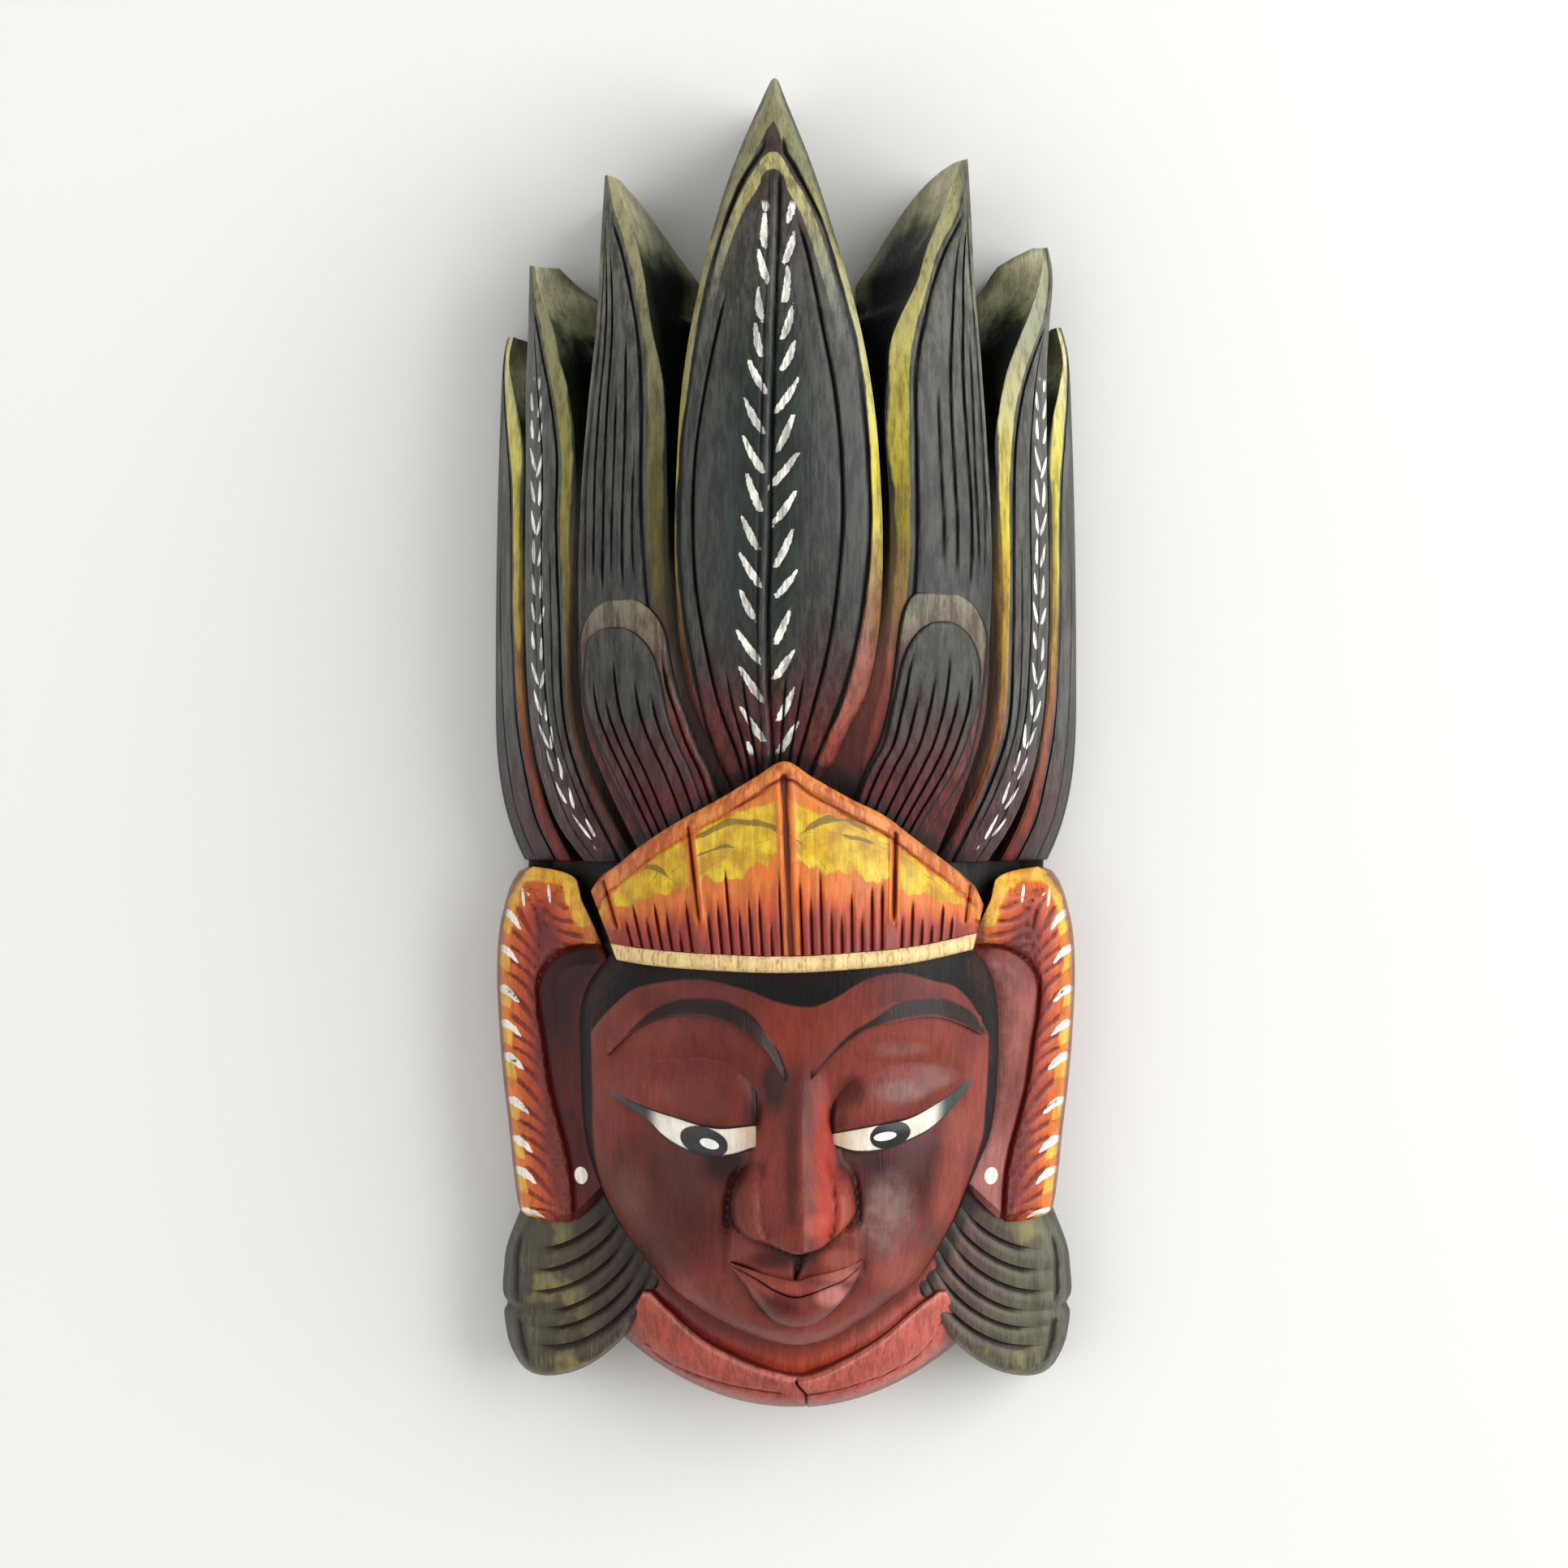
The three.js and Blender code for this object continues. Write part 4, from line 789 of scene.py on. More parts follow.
FEATHER_LEFT = curve((-33, 63.2), (-28, 67), (-20.5, 72.5), (-13, 76.2), (-4, 79.2), (6, 82), (17, 84.2),
                     (60, 85.2), (128, 86))
FEATHER_RIGHT = curve((-35, 66), (-26, 71.5), (-16.5, 75.8), (-6, 79.8), (6, 83.2), (20, 86), (60, 87),
                      (128, 88))
carved(shaded_left_feather_paint, *leaf_grid(THIRD_LINES, 0.06, 72), side_leaf(
    -1, 168.6, 0.5, THIRD_LINES, THIRD_LEFT_OUTER,
    crest=curve((-38, 54), (-12, 67), (7, 73), (45, 75.2), (79, 76.4), (101, 76.1), (123, 79.2),
                (134, 81.6), (147, 84.3), (163, 87.6), (168.6, 88.4)),
    rim=curve((-38, 51), (-12, 64.5), (7, 70.8), (45, 72.8), (106, 71.9), (123, 74.4), (134, 77.3),
              (146.5, 80.5), (163, 86.2), (168.6, 87.3)),
    top=curve((158, 63), (160.9, 68.3), (164.1, 73.6), (168.6, 79)), gap_from=146,
    beside=SECOND_LEFT_OUTER,
    floor=curve((-38, 60), (95, 64), (106, 58), (120, 42), (140, 22), (158, 11), (168.6, 32)),
    rib=FEATHER_LEFT))
carved(lit_right_feather_paint, *leaf_grid(THIRD_LINES, 0.06, 72), side_leaf(
    1, 175.6, 0.5, THIRD_LINES, THIRD_RIGHT_OUTER,
    crest=curve((-38, 54), (-12, 67), (7, 73.5), (35, 75.2), (84, 75.5), (101, 76), (112, 77.2),
                (124, 79.6), (136, 83.6), (148, 88.3), (163, 91.4), (175.6, 90.4)),
    rim=curve((-38, 51), (-12, 65), (7, 70.5), (34, 72.6), (89, 71.5), (106, 71), (117, 72.7), (129, 75.2),
              (141, 79.8), (152, 84.4), (166.6, 89), (175.6, 89.4)),
    top=curve((158, 64), (163.2, 69.3), (171.3, 75.9), (174.1, 82.6), (175.6, 86)), gap_from=146,
    beside=SECOND_RIGHT_OUTER,
    floor=curve((-38, 60), (95, 64), (106, 58), (120, 42), (140, 22), (158, 11), (175.6, 33)),
    rib=FEATHER_RIGHT))
for side, tip, beside in ((-1, 145.5, THIRD_LEFT_OUTER), (1, 148.5, THIRD_RIGHT_OUTER)):
    carved(outer_leaf_paint, *leaf_grid(FOURTH_LINES, 0.1, 60), side_leaf(
        side, tip, 0, FOURTH_LINES,
        outer=curve((-38, 90), (124, 90), (133, 87), (140, 82), (145.5, 77), (148.5, 74)),
        crest=curve((-38, 78), (-24, 85), (-9, 88.7), (7, 91.7), (41, 94.1), (92, 94.9), (109, 96.6),
                    (126, 98.5), (138, 98.8), (145.5, 97), (148.5, 95.6)),
        rim=curve((-38, 74), (-24, 81), (-9, 86), (7, 89), (41, 91.3), (92, 91), (102, 90.8), (114, 92.4),
                  (126, 95.3), (138, 97.4), (148.5, 94.6)),
        top=curve((140, 88), (146, 91), (148.5, 93)), gap_from=136, beside=beside,
        floor=curve((-38, 38), (102, 44), (115, 30), (130, 16), (146, 10), (148.5, 22)), round_log=True))


# The round bud leaves at the foot of the crown: on each side an arched band is left standing with a
# longer leaf raised inside it, both gouged upwards from the headband, grey above and maroon below.

bud_paint = leaf_paint(
    "bud paint", web=False,
    body_stops=[(0.0, "#441310"), (0.08, "#521a18"), (0.13, "#4e2422"), (0.18, "#42312f"),
                (0.23, "#3a3a36"), (0.33, "#454740")])
bud_band_paint = leaf_paint(
    "bud band paint", web=False,
    body_stops=[(0.0, "#4a1412"), (0.1, "#5c1e1a"), (0.19, "#642e28"), (0.25, "#66443a"),
                (0.31, "#6a5e4e"), (0.35, "#706e5c")])


def arched(side, top, spring, proud, outer, inner, cuts, reach, square=1.0):
    """A form between two edges that closes in a round arch above its spring line. u runs across, v
    up: straight to the spring, then by the angle of the arch. The side by the middle leaf can be made
    squarer; gouge cuts run up it and fade out under the arch."""
    def face(u, v):
        turn = np.clip((v - 0.6) / 0.4, 0, 1) * 1.5
        y = np.where(v < 0.6, mix(-45, spring, v / 0.6), spring + (top - spring) * np.sin(turn))
        arch = np.cos(turn) ** np.where(u < 0.5, 0.9, 0.9 * square)
        x = (outer(y) + inner(y)) / 2 - (outer(y) - inner(y)) / 2 * arch * (2 * u - 1)
        wide = outer(y) - inner(y)
        from_side = np.minimum(u, 1 - u) * wide * arch
        rim = ease((2.2 - np.minimum(from_side, (top - y) * 1.2)) / 2.2)
        cut = 0 * u
        for n, line in enumerate(cuts):
            end = top - reach - 7 * math.sin(n * 2.1)
            cut = np.maximum(cut, notch(u - line, 0.026) * between(y, -60, end, 14))
        z = log_front(x, y) + proud - 1.3 * rim ** 2 - 1.4 * cut
        return side * x, y, z, {"border": 5 + 0 * x, "cut": np.maximum(cut, 0.85 * rim ** 3)}
    return face


BUDS = [
    (-1, (51.2, 36, 3.4,
          curve((-45, 40), (-23, 52.5), (-8, 60.5), (0, 63.7), (9.5, 67.2), (17.7, 69.4), (26, 70.2),
                (37, 70.4), (51, 70)),
          curve((-45, 14), (-7, 25.5), (1.3, 29.6), (12.2, 33.4), (20.4, 36.2), (34, 38.9), (51, 41)),
          [0.9], 30),
     (41.4, 22, 5.2,
      curve((-45, 40), (-22, 51.5), (-5.5, 59.6), (0, 62.3), (6.7, 65.1), (12.2, 67.2), (17.7, 68.3),
            (27.2, 69.2), (32.7, 70.3), (36.7, 72), (41.4, 73)),
      curve((-45, 20), (-5.5, 32.3), (1.3, 35.6), (8.1, 38.3), (20.4, 41.1), (27.2, 42.2), (41.4, 43)),
      [0.14, 0.27, 0.42, 0.66, 0.84], 26)),
    (1, (53.1, 36, 3.4,
         curve((-45, 38), (-23, 51.5), (-5.5, 61.8), (4, 64.5), (12.2, 66.1), (20.4, 67.2), (27, 68),
               (36, 68.6), (53, 68.4)),
         curve((-45, 14), (-5.5, 26.8), (1.3, 30.2), (12.2, 33.4), (25.8, 35.6), (36, 36.8), (53, 38)),
         [], 40, 0.35),
     (43.3, 25, 5.2,
      curve((-45, 34), (-23, 47), (-5.5, 57.7), (8.1, 63.1), (14.9, 65), (27.2, 66.1), (35, 66.2),
            (43.3, 66)),
      curve((-45, 14), (-5.5, 28), (1.3, 31.8), (12.2, 34.5), (25.8, 37.4), (35, 38.6), (43.3, 39.4)),
      [0.12, 0.26, 0.4, 0.56, 0.72, 0.87], 27)),
]
for side, band_form, leaf_form in BUDS:
    for paint, form in ((bud_band_paint, band_form), (bud_paint, leaf_form)):
        carved(paint, columns(0, 1, 0.05, form[5], 0.026),
               np.concatenate([np.linspace(0, 0.58, 26), np.linspace(0.6, 1, 22)]),
               arched(side, *form))


# The headband: a tall gable over the brow, ribbed, with a comb of gouge cuts below and a cream roll
# along its foot. It is painted yellow above, orange in the middle and dark red below.

def headband_paint():
    """Orange along the gable, mottled yellow with brown brush strokes, a wavy change to orange and then
    to dark red between the cuts, and cream on the roll. The form's map runs up it in shares."""
    material, tree = new_paint("headband paint")
    up_band = lay_on(tree)[1]
    grain = grain_at(tree, 9.0)
    spot = spot_on(tree)
    x, y = plan_on(tree)
    jag = cloudy(spot, 150.0)
    wave = cloudy(drawn_out(spot, (180.0, 60.0, 0.0)), 1.0)
    comb = cloudy(drawn_out(spot, (420.0, 40.0, 0.0)), 1.0)
    wavy = uneven(up_band, wave, 0.2)
    ragged = uneven(wavy, comb, 0.3)
    wavy = mark(tree, "cut") * -0.025 + wavy
    colour = shades(ragged, (0.0, "#842a24"), (0.22, "#94342a"), (0.3, "#ae4629"), (0.37, "#c65a28"),
                    (0.46, "#d4722c"), (1.0, "#d6782e"))
    mottle = cloudy(spot, 130.0, 3.0)
    yellow = shades(mottle, (0.3, "#b4861a"), (0.45, "#cea01c"), (0.55, "#dab41f"), (0.68, "#e2c634"))
    border, rib = mark(tree, "border"), mark(tree, "hair")
    edge = uneven(border, wave, 4.0)
    peak = fade(abs(x - 2.0), 22.0, 2.0, 0.0, 5.0)
    upper = fade(wavy, 0.535, 0.555) * fade(edge - peak, 5.4, 6.4) * fade(rib, 0.75, 0.35)
    colour = blend(upper, colour, yellow)
    strokes = 0.0
    for middle, top, lean, bend, reach, thick in (
            (-14.0, -23.8, 0.0, 0.0205, 21.0, 1.0), (-45.8, -39.2, 0.0, 0.07, 6.8, 0.9),
            (16.5, -22.4, 0.0, 0.042, 12.0, 1.3), (49.5, -38.6, -0.45, 0.0, 6.0, 1.2),
            (-24.0, -33.0, 0.25, 0.02, 8.0, 0.5), (24.0, -29.5, -0.3, 0.01, 6.0, 0.8)):
        dx = x - middle
        line = dx * dx * -bend + (dx * lean + top)
        off = uneven(abs(uneven(y, mottle, 3.2) - line), jag, 0.9)
        ends = fade(abs(dx), reach, reach * 0.6, 0.0, thick)
        strokes = reckon("MAXIMUM", strokes, fade(off - ends, 0.25, -0.25))
    colour = blend(strokes * upper * 0.85, colour, "#74601f")
    orange = blend(fade(grain["Mottle"], 0.2, 0.8), "#c0602a", "#d98442")
    colour = blend(fade(uneven(border, jag, 1.2), 5.2, 4.4), colour, orange)
    colour = blend(fade(rib, 0.75, 1.1) * 0.9, colour, "#8e3014")
    colour = blend(fade(rib, 0.2, 0.5) * fade(rib, 0.9, 0.7) * 0.8, colour, "#d8742e")
    cream = blend(fade(grain["Fine"], 0.05, 0.45), "#c29a5c", "#ebd096")
    colour = blend(fade(up_band, 0.093, 0.087), colour, cream)
    colour = walled(colour, "#5a2018")
    return finish(material, colour, "#5e1710", "#eeb060", streak=0.3, worn=0.12, gloss=0.36, coat=0.25)


GABLE = curve((-66.8, -47.7), (-63.7, -43.3), (-57.6, -38.9), (-50.2, -32.9), (-37.6, -24.6),
              (-21.3, -15.6), (-10.5, -9.1), (-0.3, -3.7), (8.5, -8.8), (22, -16.4), (32.9, -21.8),
              (43.8, -30), (55.1, -38.3), (62, -43.8), (66.2, -48.3), (67.6, -52.4))
BAND_FOOT = curve((-57.1, -70.7), (-46, -72), (-29, -73), (0, -73.8), (25, -72.6), (41, -71.3),
                  (63.4, -67.5))
RIBS = (0.03, 0.25, 0.49, 0.77, 0.965)
FLUTES = [s for s in 0.058 + 0.0272 * np.arange(33) if min(abs(s - rib) for rib in RIBS) > 0.0165]


def headband(u, v):
    """u runs across and v up from the foot to the gable, bowed over the brow. The roll is 5.8 mm high,
    below v 0.09; ribs run all the way up, and the comb of cuts ends part way, each at its own height."""
    x0, x1 = mix(-57.1, 63.4, u), mix(-66.8, 67.6, u)
    tall = GABLE(x1) - BAND_FOOT(x0)
    rolled = v < 0.09
    share = np.where(rolled, v / 0.09 * 5.8 / tall, mix(5.8 / tall, 1, (v - 0.09) / 0.91))
    x, y = mix(x0, x1, share), BAND_FOOT(x0) + tall * share
    bow = 99 * np.sqrt(1 - (x / 86) ** 2)
    flute = 0 * u
    for n, line in enumerate(FLUTES):
        length = 0.5 + 0.11 * math.sin(n * 2.3) + 0.07 * math.sin(n * 0.9)
        flute = np.maximum(flute, notch(u - line, 0.0072) * ease((length - v) / 0.24))
    rib, raised = 0 * u, 0 * u
    for line, half in zip(RIBS, (0.007, 0.008, 0.0135, 0.008, 0.007)):
        low = 0 if half > 0.01 else 0.2
        reach = ease((0.955 - v) / 0.03) * ease((v - low) / 0.15 + (low == 0))
        rib = np.maximum(rib, np.clip(1.5 * notch(u - line, half), 0, 1) * reach)
        raised = np.maximum(raised, hill((abs(u - line) - half * 1.4) / half) * reach)
    cut = np.where(rolled, 0, np.maximum(flute, 0.75 * rib))
    z = bow - 5 * share + np.where(rolled, 2.2 * np.sin(np.clip(v / 0.09, 0, 1) * math.pi) ** 0.5, 0)
    z = z + np.where(rolled, 0, 0.8 * raised - 1.5 * cut) - 1.6 * ease((v - 0.96) / 0.04)
    border = np.minimum((1 - share) * tall * 0.86, 40)
    z = z + np.where(rolled, 0, 0.9 * ease((5.6 - border) / 1.6) - 0.7 * hill((border - 5.4) / 1.2))
    cut = np.where(rolled, ease((v - 0.08) / 0.01) * 0.8,
                   np.maximum(cut, 0.45 * hill((border - 5.2) / 1.1)))
    return x, y, z, {"across": u, "length": v, "border": border, "cut": cut,
                     "hair": np.where(rolled, -1, rib + 0.55 * raised)}


band_rows = np.unique(np.concatenate([[0, 0.012, 0.03, 0.05, 0.07, 0.082, 0.0895, 0.0905],
                                      np.linspace(0.11, 0.78, 18), np.linspace(0.8, 1, 15)]))
carved(headband_paint(), columns(0, 1, 0.02, [*FLUTES, *RIBS], 0.014), band_rows, headband)


# The face: one smooth egg with the nose, cheeks and muzzle carved into it. It is painted dark red
# with a black hairline and edge, black brows, and dark shading round the eyes, worn to a satin gloss.
# Painted light and shade and a greyish painted sheen are laid into its colour as well.

FACE_LEFT = curve((-201.3, -1), (-199.2, -10.5), (-195.4, -20.5), (-190.5, -29.5), (-185, -37.8),
                  (-178, -45), (-170, -51.8), (-160, -58.8), (-150, -64), (-134, -68.7), (-105, -70.5),
                  (-84, -69.5), (-74, -64), (-62, -52))
FACE_RIGHT = curve((-201.3, 5), (-200, 13.5), (-197.4, 20), (-194.3, 25.5), (-191, 31.5), (-187, 36.8),
                   (-182.4, 43.8), (-175.4, 49.5), (-167, 54.4), (-159.3, 58.8), (-150, 62.8),
                   (-141, 66.5), (-132, 70), (-113, 72.5), (-84, 72), (-72, 68), (-62, 58))
FACE_EDGE = curve((-201, 64), (-185, 56), (-160, 51), (-120, 52), (-75, 57), (-62, 66))
FACE_RIDGE = curve((-201, 71), (-194, 78), (-180, 82), (-160, 84), (-130, 84), (-105, 87), (-80, 91),
                   (-62, 92))


def face_middle(y):
    """The face leans a little: its middle line drifts 4 mm from brow to chin."""
    return 1 + (-72 - y) * 4 / 131


def egg(x, y):
    """The face's plain egg: from its edge height up to its ridge by a rounded power, with a shallow
    socket pressed in round each eye."""
    middle = face_middle(y)
    half = np.where(x < middle, middle - FACE_LEFT(y), FACE_RIGHT(y) - middle)
    share = np.clip(abs(x - middle) / half, 0, 1)
    socket = abs(abs(x - 3.5) - 34) / 26
    rise = (1 - share ** 2.4) ** 0.75
    return mix(FACE_EDGE(y), FACE_RIDGE(y), rise) - 3 * hill(socket, (y + 112) / 17)


NOSE_FOOT = curve((-19.6, -156), (-16.8, -161), (-13.8, -163.3), (-7.8, -165.3), (-2, -167.3),
                  (2.5, -168.6), (8, -167.8), (11.9, -166.9), (15.4, -164.2), (19.6, -160.6), (23.4, -156))
NOSE_LEFT = curve((-168.6, 18), (-163, 20), (-158, 23.2), (-152, 24), (-146, 22.8), (-141, 20),
                  (-135, 17.6), (-122, 14.5), (-108, 10))
NOSE_RIGHT = curve((-168.6, 12), (-163, 14.5), (-157, 17.6), (-151, 17.8), (-146, 17), (-141, 15.4),
                   (-135, 13.2), (-122, 11), (-108, 9))
CREASE_LEFT = curve((-160, -20.2), (-155, -20), (-150, -19.6), (-146, -18.9), (-142, -17.2), (-139, -14.6))
CREASE_RIGHT = curve((-160, 24.6), (-152.4, 24.4), (-148.3, 24), (-143.9, 23.3), (-140.7, 22.2),
                     (-137, 20.4))


def nose_share(x, y):
    """Whether a place is left of the nose's back, and its share of the way out to the nose's side."""
    back = 4.5 + (-110 - y) / 56 * 1.2
    on_left = x < back
    return on_left, np.where(on_left, (back - x) / NOSE_LEFT(y), (x - back) / NOSE_RIGHT(y))


def nose_height(x, y):
    """The nose over the egg: a sharp-backed wedge that grows evenly to the tip. From y -135 down its
    front ends in a crease with a round wing past it, and the underside drops at its foot line."""
    u = nose_share(x, y)[1]
    along = np.clip((-108 - y) / 57.6, 0, 1)
    height = mix(1.5, 23, along ** 0.98) * ease((-96 - y) / 14)
    soft = np.sqrt(u * u + 0.003)
    blade = 1 - np.clip(soft / 0.98, 0, 1) ** 1.3
    front = (1 - 0.44 * np.clip(soft / 0.58, 0, 1) ** 1.25) * ease((0.7 - u) / 0.12)
    wing = (0.62 * np.sqrt(np.maximum(0, 1 - ((u - 0.72) / 0.28) ** 2))
            * np.sqrt(np.clip((-138 - y) / 10, 0, 1)))
    under = ease((y - NOSE_FOOT(x) + 0.3) / 3.2)
    shape = mix(blade, np.maximum(front, wing), ease((-134 - y) / 10))
    return height * shape * np.where(y < -140, under, 1)


LIP_TOP = curve((-18.6, -171.6), (-12.8, -173.1), (-7.8, -174.6), (-2.4, -175.8), (3.1, -176.8),
                (8.5, -175.3), (13.7, -174.3), (19.4, -172.9), (25.6, -170.6))
LIP_LINE = curve((-18.6, -172.4), (-12.8, -174.8), (-7.8, -177.6), (-4.4, -179.8), (3.1, -182.3),
                 (8.5, -181.1), (13.7, -179.1), (19.1, -177.1), (25.6, -172.2))
LIP_FOOT = curve((-18.6, -173.4), (-14.4, -178.4), (-11, -183.6), (-7.8, -187.6), (-4.4, -191),
                 (-0.9, -192.8), (3.1, -193.6), (8.5, -192.8), (12.4, -190.6), (16, -187.6),
                 (19.7, -183.4), (22.8, -179.4), (25.6, -173.4))


HAIR_LINE = curve((-69, -99), (-63, -91), (-57.5, -85.2), (-51.9, -80.5), (-46.1, -78.6), (-29.4, -76.7),
                  (-13.2, -80.2), (-2.3, -84.3), (8.5, -85.6), (16.7, -82.4), (24.8, -77.5), (30.2, -75.6),
                  (38.4, -74.8), (49.6, -77.4), (57.9, -80.2), (63.6, -86.5), (67.4, -93.7), (72, -101))


def face_form(u, v):
    """u from -1 to 1 across the outline and v up from the chin. The egg carries the nose, a band between
    nose and mouth with its groove, and cuts beside the nose's wings."""
    y = -200.9 + 138.9 * (v * 0.7 + 0.3 * v ** 2)
    middle = face_middle(y)
    half = np.where(u < 0, middle - FACE_LEFT(y), FACE_RIGHT(y) - middle)
    x = middle + u * half
    z = egg(x, y)
    beside = np.minimum(x + 20.8, 26.8 - x)
    band = 5.2 * ease(np.minimum(y - LIP_LINE(x), beside * 0.8) / 3.2) * between(y, -300, -161.5, 4)
    chin = 2.4 * hill((x - 4.5) / 20, (y + 195) / 9)
    cheeks = 2.6 * hill((abs(x - 3.5) - 42) / 24, (y + 146) / 26)
    t = np.clip((y + 176.8) / 7.6, 0, 1)
    philtrum = notch(x - mix(3.0, 4.6, t), mix(0.9, 4.2, t)) * between(y, -177, -169.2, 1.2)
    crease = (np.maximum(notch(x - CREASE_LEFT(y), 1.9), notch(x - CREASE_RIGHT(y), 1.9))
              * between(y, -158.5, -143, 5))
    edge_of_band = notch(beside - 0.4, 1.5) * between(y, -175, -163, 3)
    z = z + chin + cheeks + np.maximum(band, nose_height(x, y)) - 2.4 * philtrum
    z = z - 1.6 * crease - 0.6 * edge_of_band
    edge = (1 - abs(u)) * half
    hair = np.maximum(y - HAIR_LINE(x), curve((-166, 0.7), (-150, 1.6), (-122, 4.2))(y) - edge)
    on_left, out = nose_share(x, y)
    wing_line = notch(out - 0.64, 0.06) * between(y, -163, -147, 5) * np.where(on_left, 0.35, 0.6)
    cut = np.maximum.reduce([0.55 * crease, 0.8 * philtrum, 0.4 * edge_of_band, wing_line])
    return x, y, z, {"hair": hair, "brow": brow_mark(x, y), "cut": cut}


BROW_TOPS = (curve((-61.6, -103.4), (-54.5, -96.1), (-46.1, -88.4), (-37.8, -84), (-30.9, -82.4),
                   (-24, -82.4), (-17.3, -84.3), (-10.5, -89.1), (-6.4, -95.1), (-2.3, -100.5),
                   (0.4, -107.3)),
             curve((9.9, -106.8), (14, -101.9), (22.1, -93.8), (28.9, -89.7), (37.1, -84.3), (46.7, -82.8),
                   (55.1, -84), (63.6, -89.3), (67.9, -95.1)))
BROW_FEET = (curve((-61, -103.6), (-51.8, -94.8), (-43.4, -90.3), (-32.3, -88.6), (-21.3, -90.2),
                   (-13.2, -94.3), (-6.4, -100.5), (-0.5, -110.6)),
             curve((8.5, -110), (19.4, -98.6), (27.5, -93.2), (38.5, -90.5), (49.6, -89.5), (59.5, -92.6),
                   (66.6, -96.5)))


def brow_mark(x, y):
    """How far inside a painted brow a place is, in mm: the nearer of its two edge lines, negative
    outside."""
    found = np.full(np.broadcast(x, y).shape, -9.0)
    for top, foot, low, high in zip(BROW_TOPS, BROW_FEET, (-61.6, 9), (0, 67.5)):
        inside = np.minimum(top(x) - y, y - foot(x))
        inside = np.minimum(inside, np.minimum(x - low, high - x) + 1)
        found = np.maximum(found, inside)
    return found


# Soft ovals on the face, each a place, two radii, a strength and a colour. Some are the paint's own tones;
# many are painted light and shade: lighter on the right of the nose, lips, face edge and chin rim, darker
# on the left cheek, beside the nose and at the inner eye corners.
FACE_TONE_AND_LIGHT_PATCHES = [(2, -92, 16, 14, 0.6, "#70261b"), (-46, -84, 14, 8, 0.5, "#471c19"),
                (44, -84, 18, 8, 0.4, "#4c2c2a"), (22, -114, 7, 8, 0.8, "#45110a"),
                (-17, -112, 7, 7, 0.6, "#5c1e16"), (38, -108, 16, 6, 0.4, "#8f5652"),
                (-40, -150, 26, 32, 0.75, "#401a17"), (-44, -172, 16, 14, 0.6, "#3a1613"),
                (44, -140, 22, 16, 0.7, "#33191a"), (30, -146, 7, 14, 0.5, "#30181a"),
                (-20, -139, 13, 9, 0.95, "#1e0503"), (25, -137, 15, 7, 0.75, "#2a1a1b"),
                (51, -166, 9, 8, 0.5, "#5c4038"), (38, -176, 14, 9, 0.35, "#a85c50"),
                (58, -128, 6, 14, 0.5, "#a85c50"), (-16, -152, 7, 16, 0.5, "#501d18"),
                (13, -140, 5.5, 38, 0.9, "#a83424"), (18, -153, 6, 12, 0.6, "#b44a3a"),
                (-4, -112, 6, 12, 0.85, "#200a0a"), (4, -112, 5, 14, 0.6, "#481a18"),
                (2, -138, 4, 30, 0.75, "#441210"), (-8, -140, 5, 28, 0.5, "#8a3a30"),
                (2, -94, 14, 18, 0.5, "#8a3524"), (56, -150, 8, 26, 0.6, "#9a4638"),
                (66, -120, 7, 30, 0.6, "#a04a3c"), (-62, -120, 8, 26, 0.5, "#83392f"),
                (-11, -121, 5, 9, 0.7, "#3a1210"), (18, -122, 4, 9, 0.7, "#4c1814"),
                (-6, -170, 12, 4.5, 0.85, "#420d08"), (18, -170, 8, 5, 0.6, "#a85a4c"),
                (2, -179.5, 14, 3, 0.5, "#a0463c"), (18, -175.5, 9, 3, 0.7, "#ac5c50"),
                (-3, -186, 11, 7, 0.9, "#480804"), (4, -189, 7, 3.5, 0.7, "#74180f"),
                (15, -182, 7, 5, 0.8, "#c87e78"), (10, -157, 6, 5, 0.6, "#c05040"),
                (1.5, -160, 5, 4, 0.5, "#8a3020"), (-52, -149, 8, 12, 0.45, "#7a4a40"),
                (4, -197, 14, 4, 0.5, "#93473c")]
# Greyish painted sheen, where the right cheek, lid and brow catch the light.
PAINTED_SHEEN_PATCHES = [(34, -157, 12, 18, 0.75), (38, -114, 13, 5, 0.7), (50, -109, 9, 6, 0.4),
                 (38, -100, 13, 4, 0.4)]


